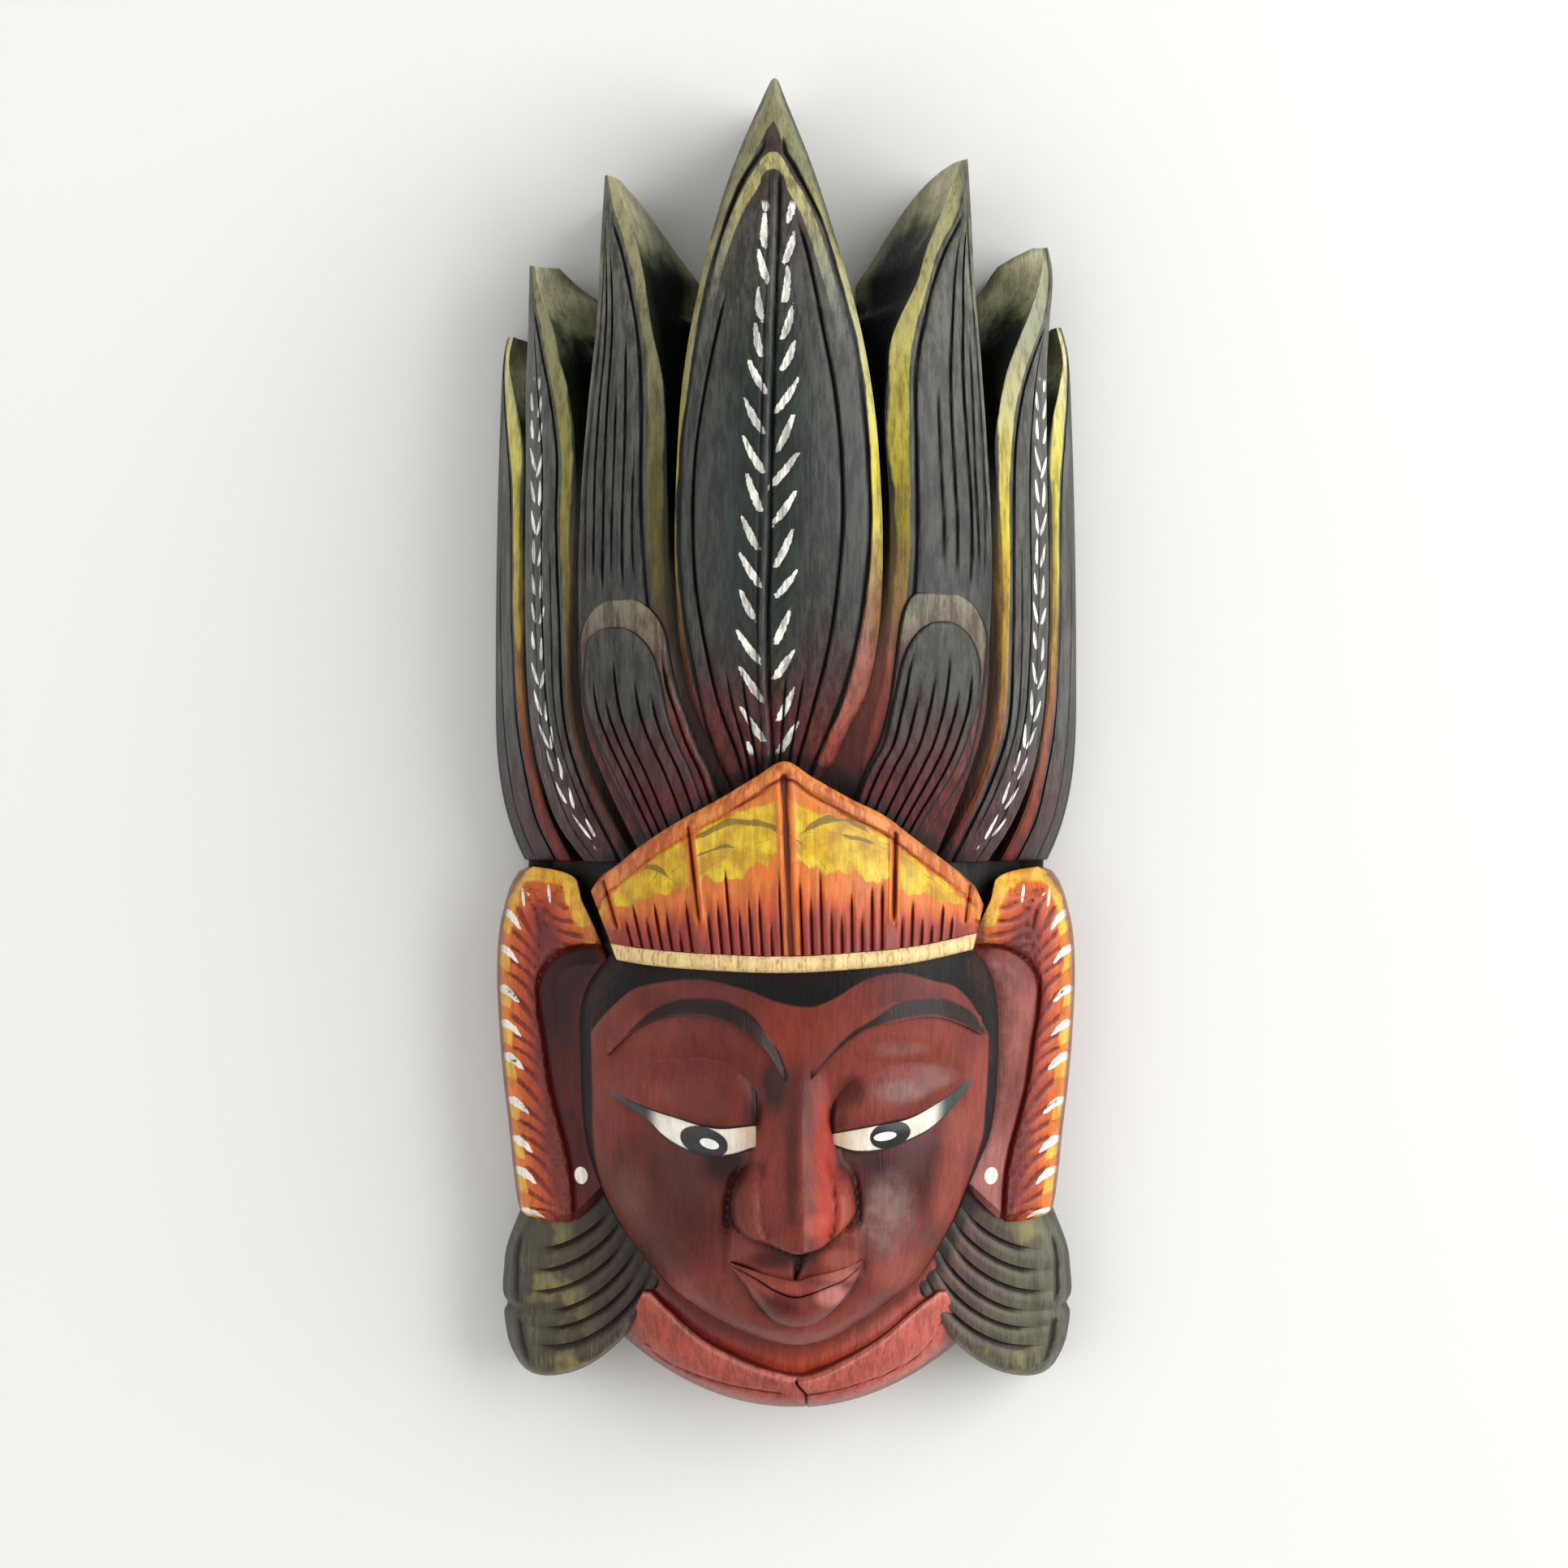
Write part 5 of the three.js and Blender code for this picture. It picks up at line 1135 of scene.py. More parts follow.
def face_paint():
    """Dark red over brown, with soft ovals of painted light and shade: brightest on the right of the nose,
    darker on the left; a greyish painted sheen on the right cheek and lid; black hair, face edge and
    brows from their marks; soft black round the eyes, worked out from the place on the face."""
    material, tree = new_paint("face paint")
    spot = spot_on(tree)
    grain = grain_at(tree, 22.0)
    x, y = plan_on(tree)
    cloud = cloudy(spot, 24.0, 2.5)
    colour = blend(fade(cloud, 0.35, 0.65), "#672620", "#843a2f")

    def patch(cx, cy, rx, ry, strength, shade, colour):
        """A soft oval of colour at one place of the face, for rubbed-in paint as well as for painted light
        and shade.
        """
        dx, dy = (x - cx) / rx, (y - cy) / ry
        far = uneven(reckon("SQRT", dx * dx + dy * dy), cloud, 0.5)
        return blend(fade(far, 1.05, 0.3, 0.0, strength), colour, shade)

    for place in FACE_TONE_AND_LIGHT_PATCHES:
        colour = patch(*place, colour)
    painted_sheen = colour
    for place in PAINTED_SHEEN_PATCHES:
        painted_sheen = patch(*place, "#8f736f", painted_sheen)
    sheen_mottle = cloudy(spot, 170.0, 4.0)
    colour = blend(fade(sheen_mottle, 0.35, 0.65, 0.5, 1.0), colour, painted_sheen)
    wobble = uneven(mark(tree, "hair"), cloud, 2.0)
    colour = blend(fade(wobble, -0.5, 0.5), colour, "#090606")
    soft = uneven(mark(tree, "brow"), grain["Broad"], 0.9)
    colour = blend(fade(soft, -0.5, 0.8, 0.0, 0.95), colour, "#140b0a")
    return finish(material, colour, "#200a08", "#b0604c", streak=0.24, worn=0.1, gloss=0.34,
                  coat=fade(wobble, -0.5, 0.5, 0.15, 0.0), shine=0.22)


painted_face = face_paint()
half_face = np.concatenate([np.linspace(0, 0.48, 41), np.linspace(0.5, 0.96, 21), [0.975, 0.99, 1]])
carved(painted_face, np.concatenate([-half_face[:0:-1], half_face]), np.linspace(0, 1, 128), face_form)


# The eyes: a smooth upper lid over an almond of eye white, cut in under a sharp brow ledge. The white
# is painted cream with a black pupil that looks down, a white glint and a grey-green tail.

def eye_paint():
    """Cream white, tan towards the nose, with the black of the pupil and its glint as leaning ovals,
    and a grey-green outer tail; all from the place on the face, in mm."""
    material, tree = new_paint("eye paint")
    grain = grain_at(tree)
    x, y = plan_on(tree)
    from_middle = abs(x - 3.5)
    colour = blend(grain["Broad"] * 0.5, "#f1ebe0", "#d9c3a8")
    colour = blend(fade(from_middle, 12.0, 24.0, 0.7, 0.0), colour, "#b08a58")
    colour = blend(fade(from_middle, 45.0, 51.0), colour, "#33403c")

    def oval(cx, cy, rx, ry, lean, shade, colour):
        """A painted leaning oval with a slightly uneven edge."""
        dx, dy, cosine, sine = x - cx, y - cy, math.cos(lean), math.sin(lean)
        a, b = (dx * cosine + dy * sine) / rx, (dy * cosine - dx * sine) / ry
        far = uneven(a * a + b * b, grain["Broad"], 0.25)
        return blend(fade(far, 1.08, 0.92), colour, shade)

    for pupil, glint in (((-27.3, -131, 8.2, 4.8, -0.31), (-25.7, -131.7, 3.3, 1.6, -0.31)),
                         ((34.9, -128.8, 7.0, 4.4, 0.26), (33.2, -129.3, 3.8, 1.4, 0.14))):
        colour = oval(*pupil, "#0c0d0d", colour)
        colour = oval(*glint, "#f4f4f0", colour)
    return finish(material, colour, "#2a1a18", "#f6f2ea", streak=0.2, worn=0.2, gloss=0.25, coat=0.5,
                  bump=0.12)


def set_on(low, high, lift, **marks):
    """A form set on the face between two lines across it: u is the place across in mm, v the share
    from the low line to the high one, and lift(v, x) its height over the egg."""
    def face(u, v):
        y = mix(low(u), high(u), v)
        z = egg(u, y) + lift(v, u)
        found = {name: value(u, v, y) for name, value in marks.items()}
        return u, y, z, {"brow": brow_mark(u, y), **found}
    return face


EYES = [
    (-61, -10, -61, -0.5, BROW_FEET[0],
     curve((-61, -114), (-46, -104.5), (-35, -102.8), (-24, -102.7), (-17, -105.2), (-10, -112)),
     curve((-61, -115), (-45.6, -121), (-37.8, -123.2), (-24, -126.6), (-11, -125.8)),
     curve((-61, -115.6), (-46, -125.3), (-41.9, -129.4), (-33.7, -134.1), (-20.8, -136.1),
           (-11, -133.5))),
    (15.5, 64.7, 8.5, 66.6, BROW_FEET[1],
     curve((15.5, -117), (19.4, -111.4), (27.5, -106.8), (38.4, -104.1), (49.6, -104.6), (64.7, -109.2)),
     curve((15.5, -128.4), (29.7, -125.8), (41.6, -123.6), (51, -119), (64.7, -110)),
     curve((15.5, -132), (22.1, -134.5), (30.2, -134.5), (39.7, -131.8), (51, -125.9), (64.7, -110.6))),
]
painted_eye = eye_paint()
for start, end, brow_start, brow_end, brow_foot, crease_line, lid_line, lower_line in EYES:
    outer, inner = (start, end) if start < 0 else (end, start)

    def full(x, outer=outer, inner=inner):
        """How full the eye is across: a quarter sine, blunted, in from the outer corner, easing a
        little towards the nose."""
        t = np.clip((x - outer) / (inner - outer), 0, 1)
        return (np.sin(np.clip(t / 0.55, 0, 1) * math.pi / 2) ** 0.7
                * (1 - 0.5 * np.clip((t - 0.55) / 0.45, 0, 1) ** 2))

    def lid_lift(v, x, full=full):
        """The upper lid over the egg: a half sine from its sharp lower rim up to the crease."""
        dome = 4.4 + 4.0 * np.sin(v * math.pi) - 4.0 * v - 0.6 * (1 - ease(v / 0.06))
        return full(x) * dome - 0.6 - v * 0.6

    def lid_lines_and_shade(u, v, y, inner=inner):
        """Dark wash along both edges of the lid, and painted shade on the last 2 mm before the nose."""
        edges = 0.9 * ease((0.05 - v) / 0.04) + 0.55 * ease((v - 0.93) / 0.06)
        return np.maximum(edges, 0.9 * ease(1 - abs(inner - u) / 2.2))

    def white_top(x, lid=lid_line, full=full):
        """The line where the eye white goes in under the lid."""
        return lid(x) + 2.5 * full(x)

    def ledge_top(x, foot=brow_foot):
        """The upper line of the brow ledge, 8 mm over its foot."""
        return foot(x) + 8

    across = np.linspace(max(start, -59.4), min(end, 63), 57)
    carved(painted_face, across, [0, 0.03, 0.08, 0.16, 0.26, 0.37, 0.48, 0.6, 0.72, 0.84, 0.93, 1],
           set_on(lid_line, crease_line, lid_lift, cut=lid_lines_and_shade), rounding=0.4)
    carved(painted_eye, across, [0, 0.12, 0.25, 0.4, 0.55, 0.75, 1],
           set_on(lower_line, white_top, lambda v, x, full=full: (2 + 0.8 * v) * full(x),
                  cut=lambda u, v, y: 0.7 * ease((0.1 - v) / 0.1)), rounding=0.4)
    carved(painted_face, np.linspace(brow_start, brow_end, 61), [0, 0.08, 0.2, 0.4, 0.6, 0.8, 1],
           set_on(brow_foot, ledge_top, lambda v, x: mix(1.9, -0.6, v)), rounding=0.5)


# The mouth: two full lips carved on the muzzle, pressed together in a slight smile. The line between
# them is cut in, and dark wash lies in it.

def lip_full(x):
    """How full the lips are across: a round dome, blunted."""
    return np.maximum(0, 1 - ((x - 3.5) / 22.4) ** 2) ** 0.38


across_mouth = np.linspace(-18.6, 25.6, 61)
carved(painted_face, across_mouth, np.linspace(0, 1, 11), set_on(
    LIP_LINE, LIP_TOP, lambda v, x: 1.2 + (7.4 - 1.2 * v) * lip_full(x) - 0.9 * (1 - ease(v / 0.2)),
    cut=lambda u, v, y: 0.5 * ease((0.1 - v) / 0.1)), rounding=0.5)
carved(painted_face, across_mouth, np.linspace(0, 1, 17), set_on(
    LIP_FOOT, LIP_LINE, lambda v, x: 0.5 + lip_full(x) * (2.2 + 5.4 * np.sin(v * 0.72 * math.pi)),
    cut=lambda u, v, y: 0.3 * ease((0.04 - v) / 0.04) + 0.5 * ease((v - 0.96) / 0.04)), rounding=0.5)


# The ears: side panels whose carved border wraps over the top, orange and yellow with dark red
# strokes and white dabs, round a smooth maroon lobe by the face with one white dot for an earring.

EAR_OUTER = curve((-165, 91.5), (-160, 93.4), (-145.6, 95.6), (-132, 97), (-115, 99), (-98, 100.4),
                  (-75, 101.3), (-60.4, 100.2), (-54.7, 98.9), (-47.7, 97), (-43.4, 95), (-41.2, 92.7),
                  (-40, 88.5))
EAR_INNER = curve((-165, 54), (-90, 54), (-76, 59.6), (-66.5, 63.1), (-61, 65.4), (-55.8, 67.9),
                  (-51, 70.2), (-46.5, 71.4), (-43.4, 73), (-41.6, 77), (-40.5, 82), (-40, 86))
LOBE_EDGE = curve((-165, 74), (-150, 74.6), (-138, 76.5), (-128, 79.2), (-115, 82.4), (-100, 84.6),
                  (-90, 86.3), (-76, 86.8), (-60, 85), (-50, 85), (-44, 86), (-41, 88), (-40, 87.5))


EAR_STROKE_PITCH = 6.2
EAR_DAB_PITCH = 13.2


def ear_paint():
    """A yellow patch under each white dab at the outer edge, orange between, then orange red and dark
    red with leaning dark strokes in the cuts; the lobe is maroon with its dot, paler on the right as
    painted light and darker at the top of the left as painted shade. The form's map runs in from the
    outline and along it, in mm."""
    material, tree = new_paint("ear paint")
    spot = spot_on(tree)
    x, y = plan_on(tree)
    inwards, along = lay_on(tree)
    grain = grain_at(tree, 8.0)
    jag = cloudy(spot, 140.0, 3.0)
    inward = uneven(inwards, jag, 5.0)
    colour = shades(inward / 16.0, (0.0, "#df8a34"), (0.28, "#d8742c"), (0.45, "#cc602a"),
                    (0.62, "#b84c28"), (0.8, "#963626"), (0.95, "#702822"))
    bent = inwards - 9.0
    phase = bent * bent * 0.05 + (reckon("SINE", along * 0.2) * 1.5 + (inwards * 0.9 + along))
    wave = uneven(abs(reckon("SINE", phase * (math.pi / EAR_STROKE_PITCH))), jag, 0.7)
    strokes = fade(wave, 0.66, 0.42) * fade(inward, 4.5, 6.8) * fade(inward, 15.0, 12.0, 0.3, 1.0)
    strokes = strokes * fade(y, -50.0, -56.0)
    colour = blend(strokes * 0.85, colour, "#761d12")
    row = (inwards * 0.6 + along) / EAR_DAB_PITCH
    chance = chances(reckon("FLOOR", row))
    side = (inwards - 4.6) / 4.0
    round_off = side * side
    up = round_off * 1.5 + uneven((reckon("FRACT", row) - 0.55) * EAR_DAB_PITCH, chance[0], 3.0)
    yellow = fade(up, -8.0, -6.4) * fade(up, -0.2, -1.2)
    yellow = reckon("MAXIMUM", yellow, fade(y, -58.0, -52.0)) * fade(inward, 5.8, 4.6)
    colour = blend(yellow, colour, blend(grain["Mottle"], "#e0a436", "#edbc48"))
    thick = reckon("SQRT", reckon("SUBTRACT", 1.0, round_off, clamp=True)) * (chance[1] * 0.6 + 1.3)
    dab = uneven(reckon("MAXIMUM", abs(up) - thick, (round_off - 1.0) * 2.0), jag, 0.8)
    dab = reckon("MAXIMUM", dab, along - 120.0)
    for middle, height in ((91.0, -50.5), (81.8, -49.0)):
        dy = y - height
        dx, dy = dy * -0.25 + (abs(x) - middle) / 0.55, dy / 3.2
        dab = reckon("MINIMUM", dab, dx * dx + dy * dy - 1.0)
    colour = blend(fade(dab, 0.15, -0.15), colour, "#f4f0e8")
    lobe = mark(tree, "border")
    # The right lobe is paler as painted light, with a painted highlight low down; the top of the left lobe
    # is darkened as painted shade.
    on_right, on_left = fade(x, -20.0, 20.0), fade(x, 20.0, -20.0)
    lit_right_lobe = blend(grain["Broad"], "#783c36", "#9a5a52")
    maroon = blend(on_right, blend(grain["Broad"], "#421210", "#581a16"), lit_right_lobe)
    maroon = blend(on_left * fade(y, -112.0, -88.0) * 0.75, maroon, "#180b0a")
    maroon = blend(on_right * fade(y, -122.0, -140.0) * 0.5, maroon, "#b87872")
    colour = blend(fade(lobe, -0.4, 0.4), colour, maroon)
    colour = blend(fade(abs(lobe), 1.2, 0.5) * 0.9, colour, "#3c0d0c")
    dx, dy = (abs(x) - 70.6) / 2.4, (y + 146.0) / 3.0
    colour = blend(fade(dx * dx + dy * dy, 1.1, 0.85), colour, "#f2efe8")
    colour = walled(colour, "#7a3a20")
    rub = blend(fade(lobe, -1.0, 0.5), "#e09a58", maroon)
    return finish(material, colour, "#561610", rub, streak=0.3, worn=0.25, gloss=0.32,
                  coat=fade(lobe, -0.4, 0.4, 0.2, 0.04), shine=0.25)


def nearest_on(line_x, line_y, x, y):
    """For every place, the distance to the nearest point of a line given as points, and the length
    along the line to that point."""
    run = np.concatenate([[0], np.cumsum(np.hypot(np.diff(line_x), np.diff(line_y)))])
    distance = np.hypot(x[..., None] - line_x, y[..., None] - line_y)
    pick = distance.argmin(-1)
    return np.take_along_axis(distance, pick[..., None], -1)[..., 0], run[pick]


def ear(side):
    """u runs in from the outer edge and v up from the foot. The border is gouged with leaning
    strokes; the lobe swells inside its cut outline."""
    outline_y = np.concatenate([np.linspace(-165, -40.05, 260), np.linspace(-40.05, -76, 90)])
    outline_x = np.concatenate([EAR_OUTER(outline_y[:260]), EAR_INNER(outline_y[260:])])

    def face(u, v):
        y = mix(-163.5 + 42 * np.maximum(u - 0.5, 0), -40, v)
        outer, inner, line = EAR_OUTER(y), EAR_INNER(y), LOBE_EDGE(y) + 0.8 * side
        x = np.where(u < 0.5, mix(outer, line, u * 2), mix(line, inner, u * 2 - 1))
        inward, length = nearest_on(outline_x, outline_y, x, y)
        share = (outer - x) / (outer - inner + 1e-6)
        slope = curve((0, 26), (0.04, 33), (0.12, 38), (0.32, 43), (0.4, 44), (1, 52))(share)
        corner = np.hypot(np.maximum(x - line + 16, 0), np.maximum(y + 83, 0))
        into = np.where((x > line - 16) & (y > -83), 16 - corner, np.minimum(line - x, -67 - y))
        lobe_line = notch(into, 1.6)
        lobe = 3.5 * ease(into / 7)
        run = length + 0.9 * inward + 1.5 * np.sin(length / 5) + 0.05 * (inward - 9) ** 2
        strokes = notch(np.sin(run * math.pi / EAR_STROKE_PITCH), 0.5)
        strokes = strokes * ease((inward - 2.5) / 3) * ease(-into / 1.5)
        ends = 7 * ease((v - 0.9) / 0.1) + 5 * ease((0.03 - v) / 0.03)
        z = slope - 2.2 * lobe_line + lobe - ends - 0.9 * strokes
        return side * x, y, z, {"across": inward, "length": length, "border": into,
                                "cut": np.maximum(lobe_line * 0.9, strokes * 0.55)}
    return face


painted_ear = ear_paint()
ear_rows = np.unique(np.concatenate([[0, 0.012, 0.03], np.linspace(0.04, 0.86, 94),
                                     np.linspace(0.87, 1, 22)]))
for side in (-1, 1):
    carved(painted_ear, columns(0, 1, 0.033, [0.5], 0.04), ear_rows, ear(side))


# The fans of feathers below the ears: curved gouge cuts sweep from the outer edge up to the face.
# They are olive grey with lighter smudges outside and brown by the face.

def fan_paint():
    """Greyish olive that turns to a brown purple towards the face, darker on the left fan as painted shade
    and lighter by the face on the right as painted light, with yellower smudges on the ridges and dark
    brown in the cuts. The form's map runs inwards and up in shares."""
    material, tree = new_paint("fan paint")
    x, inwards = plan_on(tree)[0], lay_on(tree)[0]
    cloud = cloudy(spot_on(tree), 60.0, 3.0)
    inward = uneven(inwards, cloud, 0.3)
    colour = shades(inward, (0.0, "#535244"), (0.3, "#5a5745"), (0.5, "#585042"), (0.64, "#50413a"),
                    (0.8, "#46322e"), (0.95, "#3c2624"))
    # Painted shade on the left fan, and painted light towards the face on the right fan.
    on_left = fade(x, 10.0, -10.0) * fade(inwards, -0.1, 0.12)
    colour = blend(on_left, colour, tinted(colour, 0.58, 0.52, 0.44))
    on_right = fade(x, -10.0, 10.0) * fade(inwards, 0.62, 0.85)
    colour = blend(on_right * 0.6, colour, "#6c5248")
    smudge = fade(cloud, 0.5, 0.6) * fade(inwards, 0.12, 0.24) * fade(inwards, 0.62, 0.42)
    colour = blend(smudge * 0.6, colour, "#888048")
    colour = blend(fade(mark(tree, "cut"), 0.08, 0.24) * 0.85, colour, "#2c251f")
    colour = walled(colour, "#34332a")
    return finish(material, colour, "#1d1612", "#a09a78", streak=0.4, worn=0.25, gloss=0.4, coat=0.25)


FAN_OUTER_X = curve((0, -92.5), (0.1, -97.2), (0.2, -98.8), (0.33, -99.2), (0.4, -98.2), (0.47, -99.6),
                    (0.65, -99.4), (0.82, -98.2), (1, -93.1))
FAN_OUTER_Y = curve((0, -217.3), (0.1, -208), (0.2, -201), (0.33, -195.5), (0.4, -193), (0.47, -190),
                    (0.65, -181), (0.82, -172.5), (1, -159.2))
FAN_CUTS = (0.15, 0.27, 0.4, 0.54, 0.68, 0.82)
FAN_RIDGES = (0.08, 0.21, 0.335, 0.47, 0.61, 0.75, 0.9)


def fan(side):
    """u runs from the outer edge to the face along quadratic Bezier rows, and v from the lowest
    feather to the highest."""
    def face(u, v):
        bend = lambda start, by, to: start * (1 - u) ** 2 + 2 * by * u * (1 - u) + to * u * u
        x = bend(FAN_OUTER_X(v), mix(-64.2, -76, v), mix(-42, -62, v))
        y = bend(FAN_OUTER_Y(v), mix(-223.8, -166, v), mix(-182, -149, v))
        rise = curve((0, 24), (0.06, 31), (0.3, 37), (0.6, 40), (1, 46))(u)
        cut, sharp = 0 * u, 0 * u
        for n, line in enumerate(FAN_CUTS):
            reach = ease((u - 0.16 - 0.05 * (n % 3)) / 0.14) * ease((0.98 - 0.05 * (n % 2) - u) / 0.2)
            broad = (np.clip(1 - (line - v) / (0.012 + 0.026 * reach), 0, 1)
                     * ease((line + 0.006 - v) / 0.008))
            cut = np.maximum(cut, broad ** 0.6 * reach)
            sharp = np.maximum(sharp, notch(v - line, 0.008) * reach)
        notched = notch(v - 0.4, 0.03) * ease(0.3 - u)
        cut, sharp = np.maximum(cut, notched), np.maximum(sharp, notched)
        shell = np.maximum.reduce([hill((v - line) / 0.07) for line in FAN_RIDGES])
        edge = notch(u - 0.1, 0.03) * np.maximum(between(v, 0.1, 0.28, 0.05), between(v, 0.5, 0.85, 0.05))
        z = rise + 0.3 * shell - 1.5 * cut - 1.1 * edge - 6 * ease((0.04 - v) / 0.04)
        # The cut mark also takes part of the broad slope under each cut, which is painted shade below it.
        return (side * x + 0.4, y, z, {"across": u, "length": v,
                                       "cut": np.maximum.reduce([0.36 * cut, sharp, 0.8 * edge])})
    return face


painted_fan = fan_paint()
fan_rows = columns(0, 1, 0.03, [line - step for line in FAN_CUTS for step in (0, 0.02)], 0.008)
for side in (-1, 1):
    carved(painted_fan, columns(0, 1, 0.05, [0.1], 0.03), fan_rows, fan(side))


# The collar: a rounded band under the chin that closes at the middle, coral red over a dark neck. A
# seam line follows its front, and its right end laps over the left.

def collar_paint():
    """Coral, darker on the left and lighter on the right as painted shade and light, worn along the grain;
    a light rim before the fold is a painted highlight; the neck behind the fold goes from dark red on
    the left to a warm brown, partly as painted shade and light. The form's map runs across and in, in
    shares."""
    material, tree = new_paint("collar paint")
    across, in_from_front = lay_on(tree)
    grain = grain_at(tree, 10.0)
    colour = blend(grain["Broad"], "#9a3c2f", "#b85446")
    colour = blend(fade(across, 0.58, 0.9, 0.0, 0.55), colour, "#cc6c5e")
    inward = grain["Broad"] * 0.02 + in_from_front
    neck = shades(across, (0.15, "#86262a"), (0.42, "#9c341c"), (0.58, "#a83e1e"), (0.85, "#bc5e52"))
    colour = blend(fade(inward, 0.62, 0.67), colour, neck)
    # Painted highlight: a light rim where the collar turns over at the fold.
    rim = fade(inward, 0.55, 0.6) * fade(inward, 0.635, 0.62)
    colour = blend(rim * 0.5, colour, "#d8897a")
    colour = walled(colour, "#8a3a30")
    hollow = mark(tree, "hollow") * fade(inward, 0.62, 0.67, 1.0, 0.45)
    return finish(material, colour, "#5a1a14", "#dd8a78", streak=0.4, worn=0.35, gloss=0.36, coat=0.3,
                  hollow=hollow)


COLLAR_FOLD = curve((-52, -186), (-40.5, -196.3), (-33, -202.2), (-20.9, -208.3), (-8, -213.3),
                    (2.4, -215.6), (7, -215.4), (20, -210.6), (36, -202.2), (47, -193.6), (58, -186))
COLLAR_SEAM = curve((-53, -200), (-43.8, -210), (-34.6, -214.2), (-21.1, -218.1), (-4.1, -220.7),
                    (3, -221.4), (15.8, -220.2), (27, -217.6), (36.8, -214.2), (48, -207), (55, -196))


def collar(u, v):
    """u runs across; v runs in from the front edge to a fold line at 0.6 and on to the neck. A seam
    line follows the front, and the right end laps over the left at the middle."""
    side = abs(2 * u - 1)
    flat = mix(-58, 64, u)
    front = -228.3 + 24.5 * side ** 2.1
    fold_y = np.minimum(np.maximum(COLLAR_FOLD(flat * 0.93), front + 2), -187)
    neck = np.maximum(-172 - 18 * (1 - side ** 2), fold_y + 1)
    x = mix(flat, mix(-44, 50, u), v)
    y = np.where(v < 0.6, mix(front, fold_y, v / 0.6), mix(fold_y, neck, (v - 0.6) / 0.4))
    bow = np.sqrt(1 - (x / 96) ** 2)
    rise = curve((0, 33), (0.08, 41), (0.2, 47), (0.4, 51.5), (0.55, 54), (0.6, 54.5), (0.66, 50.5),
                 (0.8, 52), (1, 58))(v)
    seam = notch(y - COLLAR_SEAM(x), 0.9) * between(abs(x - 3), 6, 51, 5)
    from_lap = x - 3.6 - 3.4 * ease((y + 216) / -6)
    in_front = ease((0.62 - v) / 0.04)
    lap = notch(from_lap, 0.9) * in_front
    over = 1.2 * ease(from_lap / 0.6) * ease((40 - x) / 34) * in_front
    z = rise * bow - 1.2 * seam - 1.8 * lap + over
    shade = np.maximum(seam * 0.8, lap)
    # The dark line along the fold is painted shadow under it; the seam and the lap are dark cut lines.
    return x, y, z, {"across": u, "length": v, "cut": np.maximum(shade, 0.7 * hill((v - 0.63) / 0.022))}


collar_columns = np.unique(np.concatenate([np.linspace(0, 1, 76), np.linspace(0.46, 0.56, 31)]))
collar_rows = np.unique(np.concatenate([np.linspace(0, 0.58, 26),
                                        [0.6, 0.615, 0.63, 0.645, 0.66, 0.7, 0.8, 0.9, 1]]))
carved(collar_paint(), collar_columns, collar_rows, collar)


# The wood behind the forms, with the black recess between crown and ears. The back is sawn flat and
# hollowed with a scoop, and left as bare wood. Here all the forms are joined to one solid.

def recess_paint():
    """Black-green paint in the deep places."""
    material, tree = new_paint("recess paint")
    colour = blend(grain_at(tree)["Broad"], "#121413", "#24241f")
    return finish(material, colour, "#080808", "#3a3a34", gloss=0.5, coat=0.1)


def bare_wood():
    """Pale brown wood with long darker growth lines, drawn out along the log."""
    material, tree = new_paint("bare wood")
    lines = cloudy(drawn_out(spot_on(tree), (90.0, 6.0, 90.0)), 2.2, 5.0, Distortion=0.6)
    colour = shades(lines, (0.3, "#8a6a44"), (0.5, "#b39464"), (0.7, "#c8ab7c"))
    return finish(material, colour, "#6a4c2e", "#d8c094", streak=0.3, gloss=0.62, coat=0.0, bump=0.5)


dark_recess = recess_paint()


def core(u, v):
    """The round of the log behind everything: a half ellipse across, slimmer behind the chin."""
    y = mix(-196, 60, v)
    narrow = np.where(y < -150, 0.62, 1)
    return 88 * narrow * np.sin(u * math.pi / 2), y, 70 * narrow * np.cos(u * math.pi / 2), {}


def shelf(u, v):
    """The low flat left between the crown's foot and the ears."""
    return u, v, 22 + 0 * u, {}


bare_back = bare_wood()
carved(dark_recess, np.linspace(-90.5, 90.5, 3), np.linspace(-70, 10, 3), shelf)
whole = carved(dark_recess, np.linspace(-1, 1, 25), [0, 0.15, 0.17, 0.19, 0.5, 0.85, 1], core)
paints.append(bare_back)

cutter_mesh = bpy.data.meshes.new("sawn back")
corners = np.array([(x, y, z) for z in (0, 0.3) for y in (-0.3, 0.3) for x in (-0.2, 0.2)])
cutter_mesh.from_pydata(corners, [], [(0, 2, 3, 1), (4, 5, 7, 6), (0, 1, 5, 4), (2, 6, 7, 3), (0, 4, 6, 2),
                                      (1, 3, 7, 5)])
AROUND, RINGS = 64, 32
POLE = RINGS * AROUND
turn, tilt = np.meshgrid(np.arange(AROUND) / AROUND * 2 * math.pi,
                         np.linspace(0, math.pi, RINGS + 2)[1:-1])
scoop = np.stack([66 * np.sin(tilt) * np.cos(turn), -70 + 116 * np.sin(tilt) * np.sin(turn),
                  46 * np.cos(tilt)], -1).reshape(-1, 3)
scoop = np.concatenate([scoop, [[0, -70, 46], [0, -70, -46]]]) * 0.001
at = np.arange(POLE).reshape(RINGS, AROUND)
after = np.roll(at, -1, 1)
scoop_faces = np.stack([at[:-1], at[1:], after[1:], after[:-1]], -1).reshape(-1, 4).tolist()
scoop_faces += [(POLE, a, b) for a, b in zip(at[0], after[0])]
scoop_faces += [(POLE + 1, b, a) for a, b in zip(at[-1], after[-1])]
scoop_mesh = bpy.data.meshes.new("scoop")
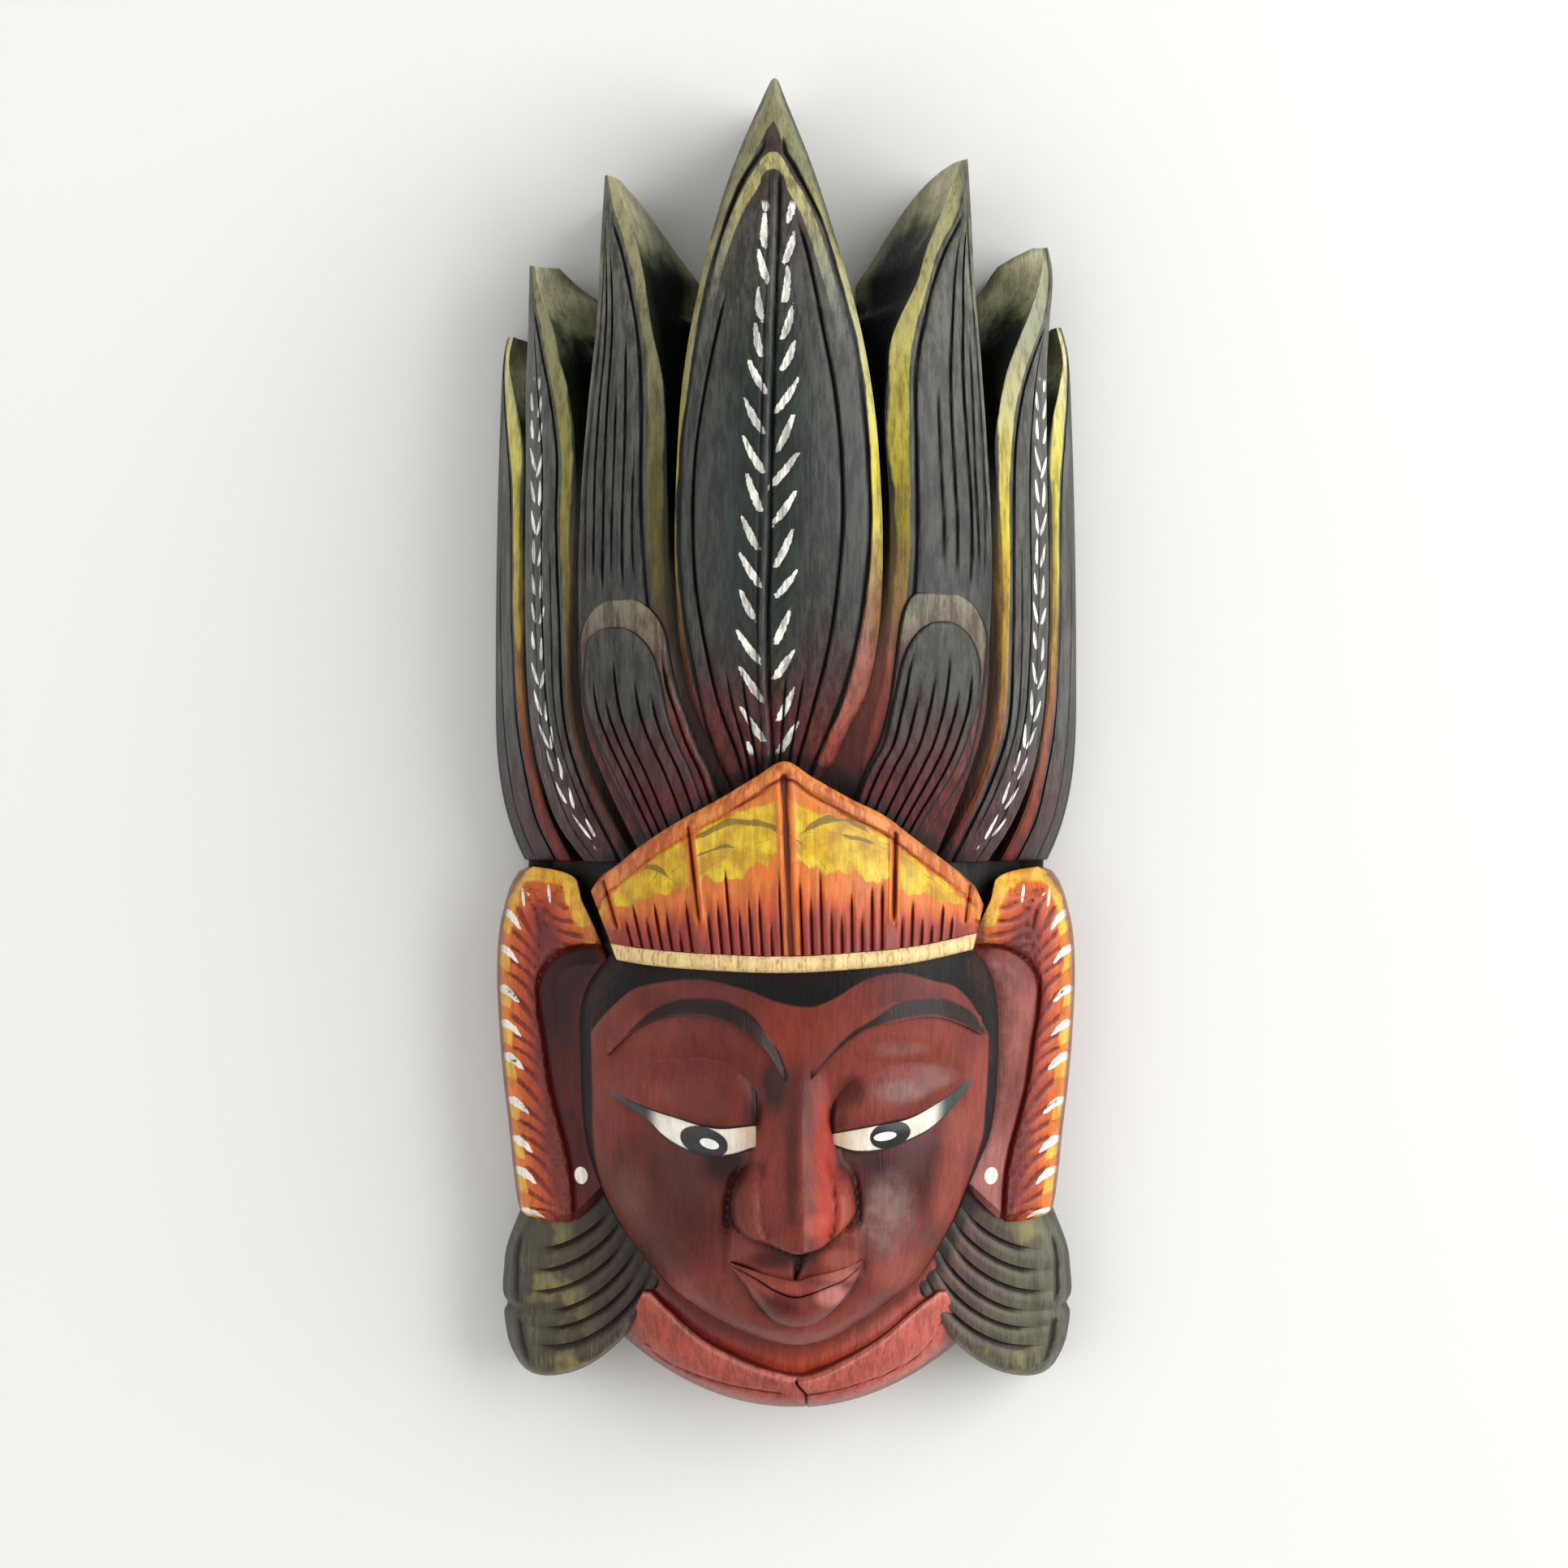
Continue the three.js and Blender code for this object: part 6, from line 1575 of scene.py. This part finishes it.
scoop_mesh.from_pydata(scoop, [], scoop_faces)

for form in forms.objects:
    for paint in paints[len(form.data.materials):]:
        form.data.materials.append(paint)
forms.objects.unlink(whole)
bpy.context.scene.collection.objects.link(whole)
cutters = []
for mesh in (cutter_mesh, scoop_mesh):
    for paint in paints:
        mesh.materials.append(paint)
    mesh.polygons.foreach_set("material_index", np.full(len(mesh.polygons), len(paints) - 1, np.int32))
    mesh.uv_layers.new(name="lay")
    for name in MARKS:
        mesh.attributes.new(name, "FLOAT", "CORNER")
    cutter = bpy.data.objects.new("cutter", mesh)
    bpy.context.scene.collection.objects.link(cutter)
    cutters.append(cutter)
joined = whole.modifiers.new("joined", "BOOLEAN")
joined.operation, joined.solver = "UNION", "MANIFOLD"
joined.operand_type, joined.collection = "COLLECTION", forms
for cutter, operation in zip(cutters, ("INTERSECT", "DIFFERENCE")):
    sawn = whole.modifiers.new("sawn", "BOOLEAN")
    sawn.operation, sawn.solver, sawn.object = operation, "MANIFOLD", cutter
carving = bpy.data.meshes.new_from_object(whole.evaluated_get(bpy.context.evaluated_depsgraph_get()))
for form in [*forms.objects, whole, *cutters]:
    bpy.data.objects.remove(form)
bpy.data.collections.remove(forms)


# The mask itself: all the forms as one solid of wood. Its low places, found by holding each place
# against the mean height around it, are marked so that the paints darken them with a wash that is
# partly painted shade.

PLAN_CORNER, PLAN_SIZE = (120, 240), (500, 260)
AROUND_PLACE, FULL_DEPTH = 4, 4


def low_places(points, facing):
    """How sunk each point is: the height of the mask's front on a 1 mm plan is spread by two running
    means of 9 mm, and the point's height is taken from it, in shares of 4 mm."""
    plan = np.floor(points[:, :2] + PLAN_CORNER).astype(int)
    height = np.full(PLAN_SIZE, -1.0)
    front = facing > 0.2
    np.maximum.at(height, (plan[front, 1], plan[front, 0]), points[front, 2])
    known = (height >= 0).astype(float)
    height = np.where(height < 0, 0, height)
    for _ in range(2):
        for axis in (0, 1):
            for layer in (height, known):
                near = range(-AROUND_PLACE, AROUND_PLACE + 1)
                layer[...] = sum(np.roll(layer, k, axis) for k in near) / len(near)
    mean = height / np.maximum(known, 1e-3)
    return (mean[plan[:, 1], plan[:, 0]] - points[:, 2]) / FULL_DEPTH


def loose_chips(mesh):
    """The corners of small chips that the joining leaves between the lips: every corner takes the
    lowest number it is linked to until none changes, and the most common number is the mask."""
    ends = np.zeros(len(mesh.edges) * 2, np.int32)
    mesh.edges.foreach_get("vertices", ends)
    ends = ends.reshape(-1, 2)
    number, lower = None, np.arange(len(mesh.vertices))
    while number is None or (lower != number).any():
        number = lower
        lower = number.copy()
        np.minimum.at(lower, ends, number[ends].min(1)[:, None])
        lower = lower[lower]
    return number != np.bincount(number).argmax()


loose = loose_chips(carving)
body = bmesh.new()
body.from_mesh(carving)
bmesh.ops.delete(body, geom=[corner for corner in body.verts if loose[corner.index]], context="VERTS")
body.to_mesh(carving)
body.free()
points = np.zeros(len(carving.vertices) * 3, np.float32)
carving.vertices.foreach_get("co", points)
normals = np.zeros(len(points), np.float32)
carving.vertices.foreach_get("normal", normals)
sunk = np.clip(low_places(points.reshape(-1, 3) * 1000, normals[2::3]), -2, 2)
# How sunk each place is: the paints lay wash and painted shade on it.
carving.attributes.new("hollow", "FLOAT", "POINT").data.foreach_set("value", sunk.astype(np.float32))
carving.shade_smooth()
carving.set_sharp_from_angle(angle=math.radians(42))
piece = bpy.data.objects.new("painted_mask", carving)
bpy.context.scene.collection.objects.link(piece)
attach(piece, "root")
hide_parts("mask")


# The stage: a pale plain wall laid flat under the mask, a soft main light from the upper right and a
# weak fill, with the camera straight over the face as in the photograph.

wall_paint, tree = new_paint("pale wall")
plaster = cloudy(spot_on(tree), 4.0, 3.0)
shader = node(tree, "BsdfPrincipled", {
    "Base Color": blend(plaster, (0.86, 0.86, 0.84, 1), (0.89, 0.89, 0.87, 1)), "Roughness": 0.85})
node(tree, "OutputMaterial", {0: Reading(shader.outputs[0])})
floor_mesh = bpy.data.meshes.new("floor")
floor_mesh.from_pydata([(-4, -4, 0), (4, -4, 0), (4, 4, 0), (-4, 4, 0)], [], [(0, 1, 2, 3)])
floor_mesh.materials.append(wall_paint)
floor = bpy.data.objects.new("floor", floor_mesh)
bpy.context.scene.collection.objects.link(floor)


def soft_light(name, place, size, power):
    """A square soft light at a place, aimed at the middle of the mask."""
    light = bpy.data.lights.new(name, "AREA")
    light.shape, light.size, light.energy = "SQUARE", size, power
    lamp = bpy.data.objects.new(name, light)
    lamp.location = place
    aim = -np.array(place)
    lamp.rotation_euler = (math.atan2(math.hypot(aim[0], aim[1]), -aim[2]), 0,
                           math.atan2(aim[1], aim[0]) - math.pi / 2)
    bpy.context.scene.collection.objects.link(lamp)


soft_light("main light", (1.9, 0.5, 1.45), 2.2, 51)
soft_light("fill light", (-1.4, -0.2, 2.0), 1.8, 9)
world = bpy.data.worlds.new("studio")
bpy.context.scene.world = world
world.use_nodes = True
world.node_tree.nodes["Background"].inputs["Color"].default_value = (1, 0.985, 0.95, 1)
world.node_tree.nodes["Background"].inputs["Strength"].default_value = 0.61
bpy.context.scene.view_settings.view_transform = "Standard"

lens = bpy.data.cameras.new("camera")
lens.lens, lens.sensor_width = 85, 36
camera = bpy.data.objects.new("camera", lens)
camera.location = (-0.0007, -0.01125, 1.323)
bpy.context.scene.collection.objects.link(camera)
bpy.context.scene.camera = camera
